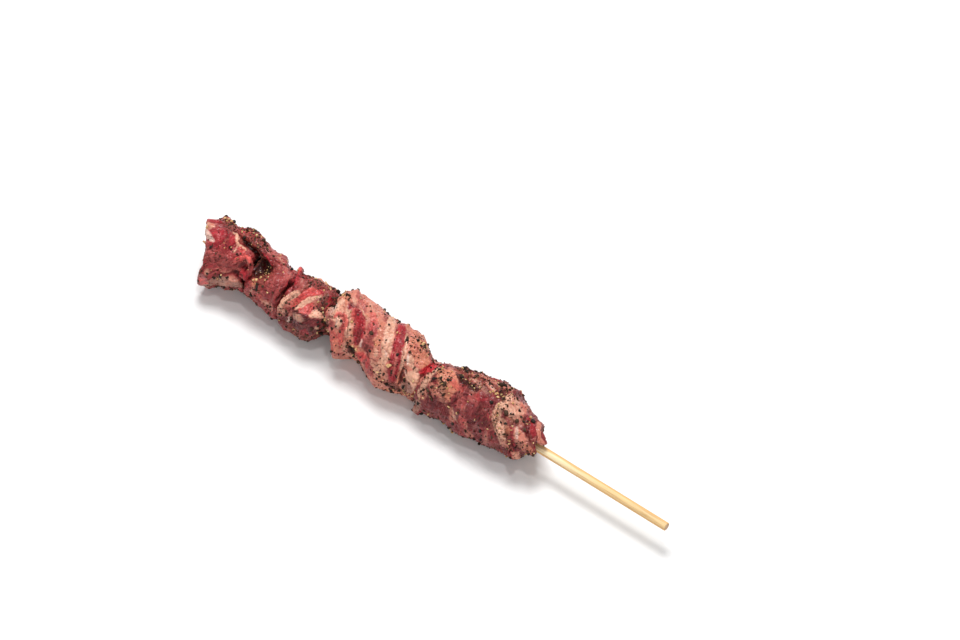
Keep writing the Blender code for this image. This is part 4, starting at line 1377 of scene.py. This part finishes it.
# Grains that stand out, given one by one: (along, down, size).
PLACED_WHOLE = ((86.5, -4.5, 2.3), (147.6, -15, 2.4), (110, 5.4, 2.0), (101.2, -10.8, 1.8))
PLACED_CRACKED = (
    (15.3, 9.4, 2.2), (13.3, 11.4, 1.7), (68, -13, 2.0), (147.6, -6.4, 2.1), (52.6, 9, 1.7),
    (150, 7, 1.8), (138.3, 10.7, 1.7), (167.8, -8.6, 2.3), (66.8, 7.2, 2.4), (158, -1.6, 2.0),
)
PLACED_HUSKS = (
    (66.2, -11.8, 2.0), (69, -13.4, 1.9), (105.4, -6.3, 2.2), (77.3, -1, 1.7), (80, 3.3, 1.7),
    (66.5, 4.9, 2.2), (62.3, 7.8, 2.0), (46.8, 4, 1.7), (175.5, 3.8, 2.2), (151.6, -15, 2.2),
    (150.4, -14.6, 1.8), (166.3, -3.4, 2.2), (115.8, -8.2, 2.2), (138.4, -4.6, 1.8), (146.5, -2.5, 1.5),
    (161, 2.4, 1.8), (154.5, -8.6, 1.5), (155, -14, 1.3), (157.8, -11.2, 1.3), (163.8, -6.5, 1.3),
    (169.8, 3.5, 1.4), (119, -4.3, 1.6), (120.5, 3.5, 1.6), (118.6, 5.8, 1.6), (125.8, -6.2, 1.2),
    (129.5, -12.8, 1.9), (132, -11.8, 1.5), (136.5, -12.8, 1.5), (145, 13.2, 1.8), (18.2, 8, 2.0),
    (6.5, 8.5, 1.7), (15.8, 14.2, 1.7), (8.3, 1.7, 1.5), (5, -1, 1.3), (13.3, -3.6, 1.3),
    (17.3, -3, 1.3), (22.3, -2.5, 1.1), (4.4, -7.2, 1.1), (8.6, -14.2, 2.0), (32.7, -15, 1.8),
    (31.5, 9.2, 1.9), (40.8, 8, 1.5), (42.6, 5.7, 1.0), (51.6, 2.7, 1.2), (58.3, -0.7, 1.3),
    (60.2, -1.5, 1.1), (60, -6.8, 1.6), (61.5, -12, 1.9), (51.5, -9.3, 1.3), (53.2, -9.2, 1.3),
    (52.5, 13, 2.0), (78.3, -13.6, 1.3), (81, -12.6, 1.6), (84.8, -8.8, 1.0), (78, -4, 1.2),
    (88, -9.2, 1.1), (92, -1.8, 1.0), (94, -1.6, 1.0), (93.8, -4, 1.0), (102.3, -9.3, 1.5),
    (104.8, -2.3, 1.1), (109.5, -3, 1.1), (108.4, 1.3, 1.5), (106.1, -15, 1.7), (100.5, 8, 1.9),
    (96.3, 9.5, 1.5), (98.6, 7.5, 1.0), (78.6, 11.2, 1.2), (75.6, 8.4, 1.0), (82, 7.8, 1.9),
    (170.6, 1, 1.0), (167.5, 10, 1.6), (9, -14, 1.5), (7, -12.9, 1.4), (14.5, -14.5, 1.4),
    (19.3, -10.8, 1.5), (17.5, -10, 1.2), (20, -12.4, 1.2), (30, -6.5, 1.5), (32.5, -4.5, 1.4),
    (33.8, -6, 1.2), (32, 3.2, 1.3), (31.8, 5.2, 1.2), (109, -12, 1.5), (108.6, -9.4, 1.5),
    (108, -11, 1.3), (113, -11.6, 1.5), (130.5, -8.5, 1.6), (134.5, -8.4, 1.8), (137.2, -7.6, 1.8),
    (139.5, -8.4, 1.5), (134.4, -14.2, 1.4), (147, -11.8, 1.7), (148.4, -13.8, 1.6), (145.8, -15.6, 1.4),
    (151, -9.8, 1.5), (152.5, -16.2, 1.6), (67.6, 9.4, 1.9), (65.6, 8.2, 1.5), (64.4, 10.8, 1.4),
    (68, 2.8, 1.8), (43.6, 8.2, 1.4), (12.8, 9.4, 1.4), (107, 1.2, 1.4), (103.4, -12.4, 1.2),
)
PLACED_CORES = (
    (100.3, 3.7, 2.3), (132.8, 5.3, 2.0), (123.5, 5.8, 1.3), (31.3, 0.3, 1.6), (30, 2.2, 2.0),
    (29, 3, 1.5), (29.7, -1.5, 1.1), (33.4, -3, 1.1), (38.6, -7, 1.0), (37.2, -12, 1.1),
    (10.5, 9, 1.3), (18, -1.8, 1.2), (12.7, -4.3, 1.1), (10.4, -2.6, 1.0), (5, -14.4, 2.0),
    (3.2, -14, 1.9), (6.6, -14, 1.5), (-1.3, -10.9, 1.4), (57, -5.6, 1.2), (47.2, 9.6, 1.3),
    (50.4, -11.6, 1.4), (52.4, -11.8, 1.8), (113.5, 3.8, 1.9), (149.7, -11.4, 2.2), (147.5, -10.3, 2.1),
    (146, -10.6, 1.6), (124.8, -2.2, 1.7), (129.6, 0.2, 1.0), (145.5, 4, 1.5), (152.3, 4.6, 1.1),
    (116.6, 7.6, 1.3), (163.3, 4, 1.3), (165.2, -1.2, 1.1), (108, 11.4, 1.8), (111.5, 9.6, 1.6),
    (134.6, -9.4, 1.4), (132.8, -8.9, 1.2), (136.6, -8, 1.3), (133.6, -11.3, 1.3), (112.8, -9, 1.1),
    (84.4, 3.6, 1.3), (82.4, 4.8, 1.4), (148.8, -9.6, 1.6), (151, -11, 1.5), (145.2, -9.8, 1.5),
    (138, -7.8, 1.4), (130.8, -9.8, 1.3), (4.6, -13.2, 1.7), (8.4, -13.8, 1.4), (15.2, 8.4, 1.5),
    (14.6, 10.6, 1.4), (30.6, 3.8, 1.4), (31.8, -1, 1.3), (148, -6.2, 1.3), (150.4, -0.4, 1.2),
)


class KEBAB_OT_seasoning(Operator):
    """Strew the cracked pepper and the spice over the meat"""

    bl_idname = "kebab.seasoning"
    bl_label = "Seasoning"

    def execute(self, context):
        settings = context.scene.kebab_pepper
        chips = [rough_shape(seed, 2, 2, 0.55, 0.35) for seed in range(1, 9)]
        lumps_of_core = [rough_shape(seed, 2, 3, 0.8, 0.25) for seed in range(21, 28)]
        halves = [rough_shape(seed, 3, 1, 0.9, 0.16) for seed in range(41, 46)]
        corns = [rough_shape(seed, 3, 0, 0.97, 0.14) for seed in range(61, 64)]
        motes = [rough_shape(seed, 1, 0, 0.7, 0.45) for seed in range(81, 86)]
        thin = [rough_shape(seed, 1, 1, 0.22, 0.3) for seed in range(91, 95)]
        husk = grain_material("pepper_husk", settings.husk, settings.husk_light, 1600, 0.5)
        core = grain_material("pepper_core", settings.core_dark, settings.core, 1800, 0.55)
        dust = grain_material("ground_pepper", settings.husk, settings.spice, 2600, 0.6)
        spice = grain_material("red_spice", settings.husk, settings.spice, 2200, 0.5)
        ground = Ground()
        kinds = (
            (Kind("pepper_husks", chips, 0.65, 1.9, 2.0, 0.30, 0.0, PLACED_HUSKS), settings.husks, husk),
            (Kind("pepper_cores", lumps_of_core, 0.6, 1.9, 2.2, 0.30, 0.0, PLACED_CORES), settings.cores, core),
            (Kind("cracked_corns", halves, 1.2, 2.1, 1.6, 0.32, 1.0, PLACED_CRACKED), settings.cracked, core),
            (Kind("whole_corns", corns, 1.9, 2.5, 1.6, 0.30, 0.0, PLACED_WHOLE), settings.whole, husk),
            (Kind("pepper_dust", motes, 0.2, 0.55, 1.7, 0.25, 0.0), settings.dust, dust),
            (Kind("spice_flakes", thin, 0.4, 1.1, 1.5, 0.20, 0.0), settings.flakes, spice),
        )
        for seed, (kind, count, material) in enumerate(kinds, 101):
            strew(kind, ground, count, material, seed)
        return {"FINISHED"}


# The stage.


def area_light(name, energy, size, place, target):
    bpy.ops.object.select_all(action="DESELECT")
    bpy.ops.object.light_add(type="AREA", location=place)
    light = bpy.context.active_object
    light.name = name
    light.data.energy = energy
    light.data.size = size
    light.rotation_euler = (Vector(target) - Vector(place)).to_track_quat("-Z", "Y").to_euler()
    return light


class KEBAB_OT_stage(Operator):
    """Set the floor, the soft light and the camera"""

    bl_idname = "kebab.stage"
    bl_label = "Stage"

    def execute(self, context):
        settings = context.scene.kebab_stage
        scene = context.scene
        bpy.ops.object.select_all(action="DESELECT")
        bpy.ops.mesh.primitive_plane_add(size=30.0, location=(0, 0, 0))
        floor = context.active_object
        floor.name = "floor"
        material, tree = new_tree("pale_floor")
        place = add(tree, "ShaderNodeTexCoord").outputs["Object"]
        mottle = noise(tree, place, 3.0, 2.0)
        tone = opaque(settings.floor)
        body = blend(tree, calc(tree, "MULTIPLY", mottle, 0.02), tone, (0.8, 0.8, 0.8, 1))
        finish_material(tree, base_color=body, roughness=0.9)
        floor.data.materials.append(material)

        world = bpy.data.worlds.new("soft_light")
        world.use_nodes = True
        background = world.node_tree.nodes["Background"]
        background.inputs["Color"].default_value = (1.0, 1.0, 1.0, 1.0)
        background.inputs["Strength"].default_value = settings.sky
        scene.world = world
        middle = (0.0, 0.0, 0.015)
        area_light("top_light", 19.0, 0.6, (-0.35, 0.45, 1.3), middle)
        area_light("front_light", 5.0, 1.0, (0.7, -1.0, 1.0), middle)
        area_light("glint_light", 2.4, 0.09, (0.12, -0.1, 1.4), middle)
        scene.view_settings.view_transform = "Standard"

        centre = STICK_POINT + Vector((0.1243 / 0.930, 0.0, 0.0)) - DOWN * 0.0347
        camera_data = bpy.data.cameras.new("camera")
        camera_data.sensor_width = 36.0
        camera_data.lens = camera_data.sensor_width * settings.view_distance / settings.view_width
        camera_data.clip_end = 100.0
        camera = bpy.data.objects.new("camera", camera_data)
        scene.collection.objects.link(camera)
        right = Vector((math.cos(SERVED_TURN), math.sin(SERVED_TURN), 0.0))
        up = SERVED.cross(right)
        camera.rotation_euler = Matrix((right, up, SERVED)).transposed().to_euler()
        camera.location = centre + SERVED * settings.view_distance
        scene.camera = camera
        return {"FINISHED"}


OPERATORS = (KEBAB_OT_beef, KEBAB_OT_stick, KEBAB_OT_seasoning, KEBAB_OT_stage)
SETTINGS = {
    "kebab_beef": KEBAB_PG_beef,
    "kebab_stick": KEBAB_PG_stick,
    "kebab_pepper": KEBAB_PG_pepper,
    "kebab_stage": KEBAB_PG_stage,
}


class KEBAB_PT_panel(Panel):
    """Lists the steps of making the kebab."""

    bl_idname = "KEBAB_PT_panel"
    bl_label = "Raw beef kebab"
    bl_space_type = "VIEW_3D"
    bl_region_type = "UI"
    bl_category = "Kebab"

    def draw(self, context):
        for operator in OPERATORS:
            self.layout.operator(operator.bl_idname, text=operator.bl_label)


def register():
    for group in (*SETTINGS.values(), *OPERATORS, KEBAB_PT_panel):
        bpy.utils.register_class(group)
    for name, group in SETTINGS.items():
        setattr(bpy.types.Scene, name, PointerProperty(type=group))


def unregister():
    for name in SETTINGS:
        delattr(bpy.types.Scene, name)
    for group in (KEBAB_PT_panel, *reversed(OPERATORS), *reversed(SETTINGS.values())):
        bpy.utils.unregister_class(group)


def main():
    register()
    bpy.ops.kebab.beef()
    bpy.ops.kebab.stick()
    bpy.ops.kebab.seasoning()
    bpy.ops.kebab.stage()


if __name__ == "__main__":
    main()
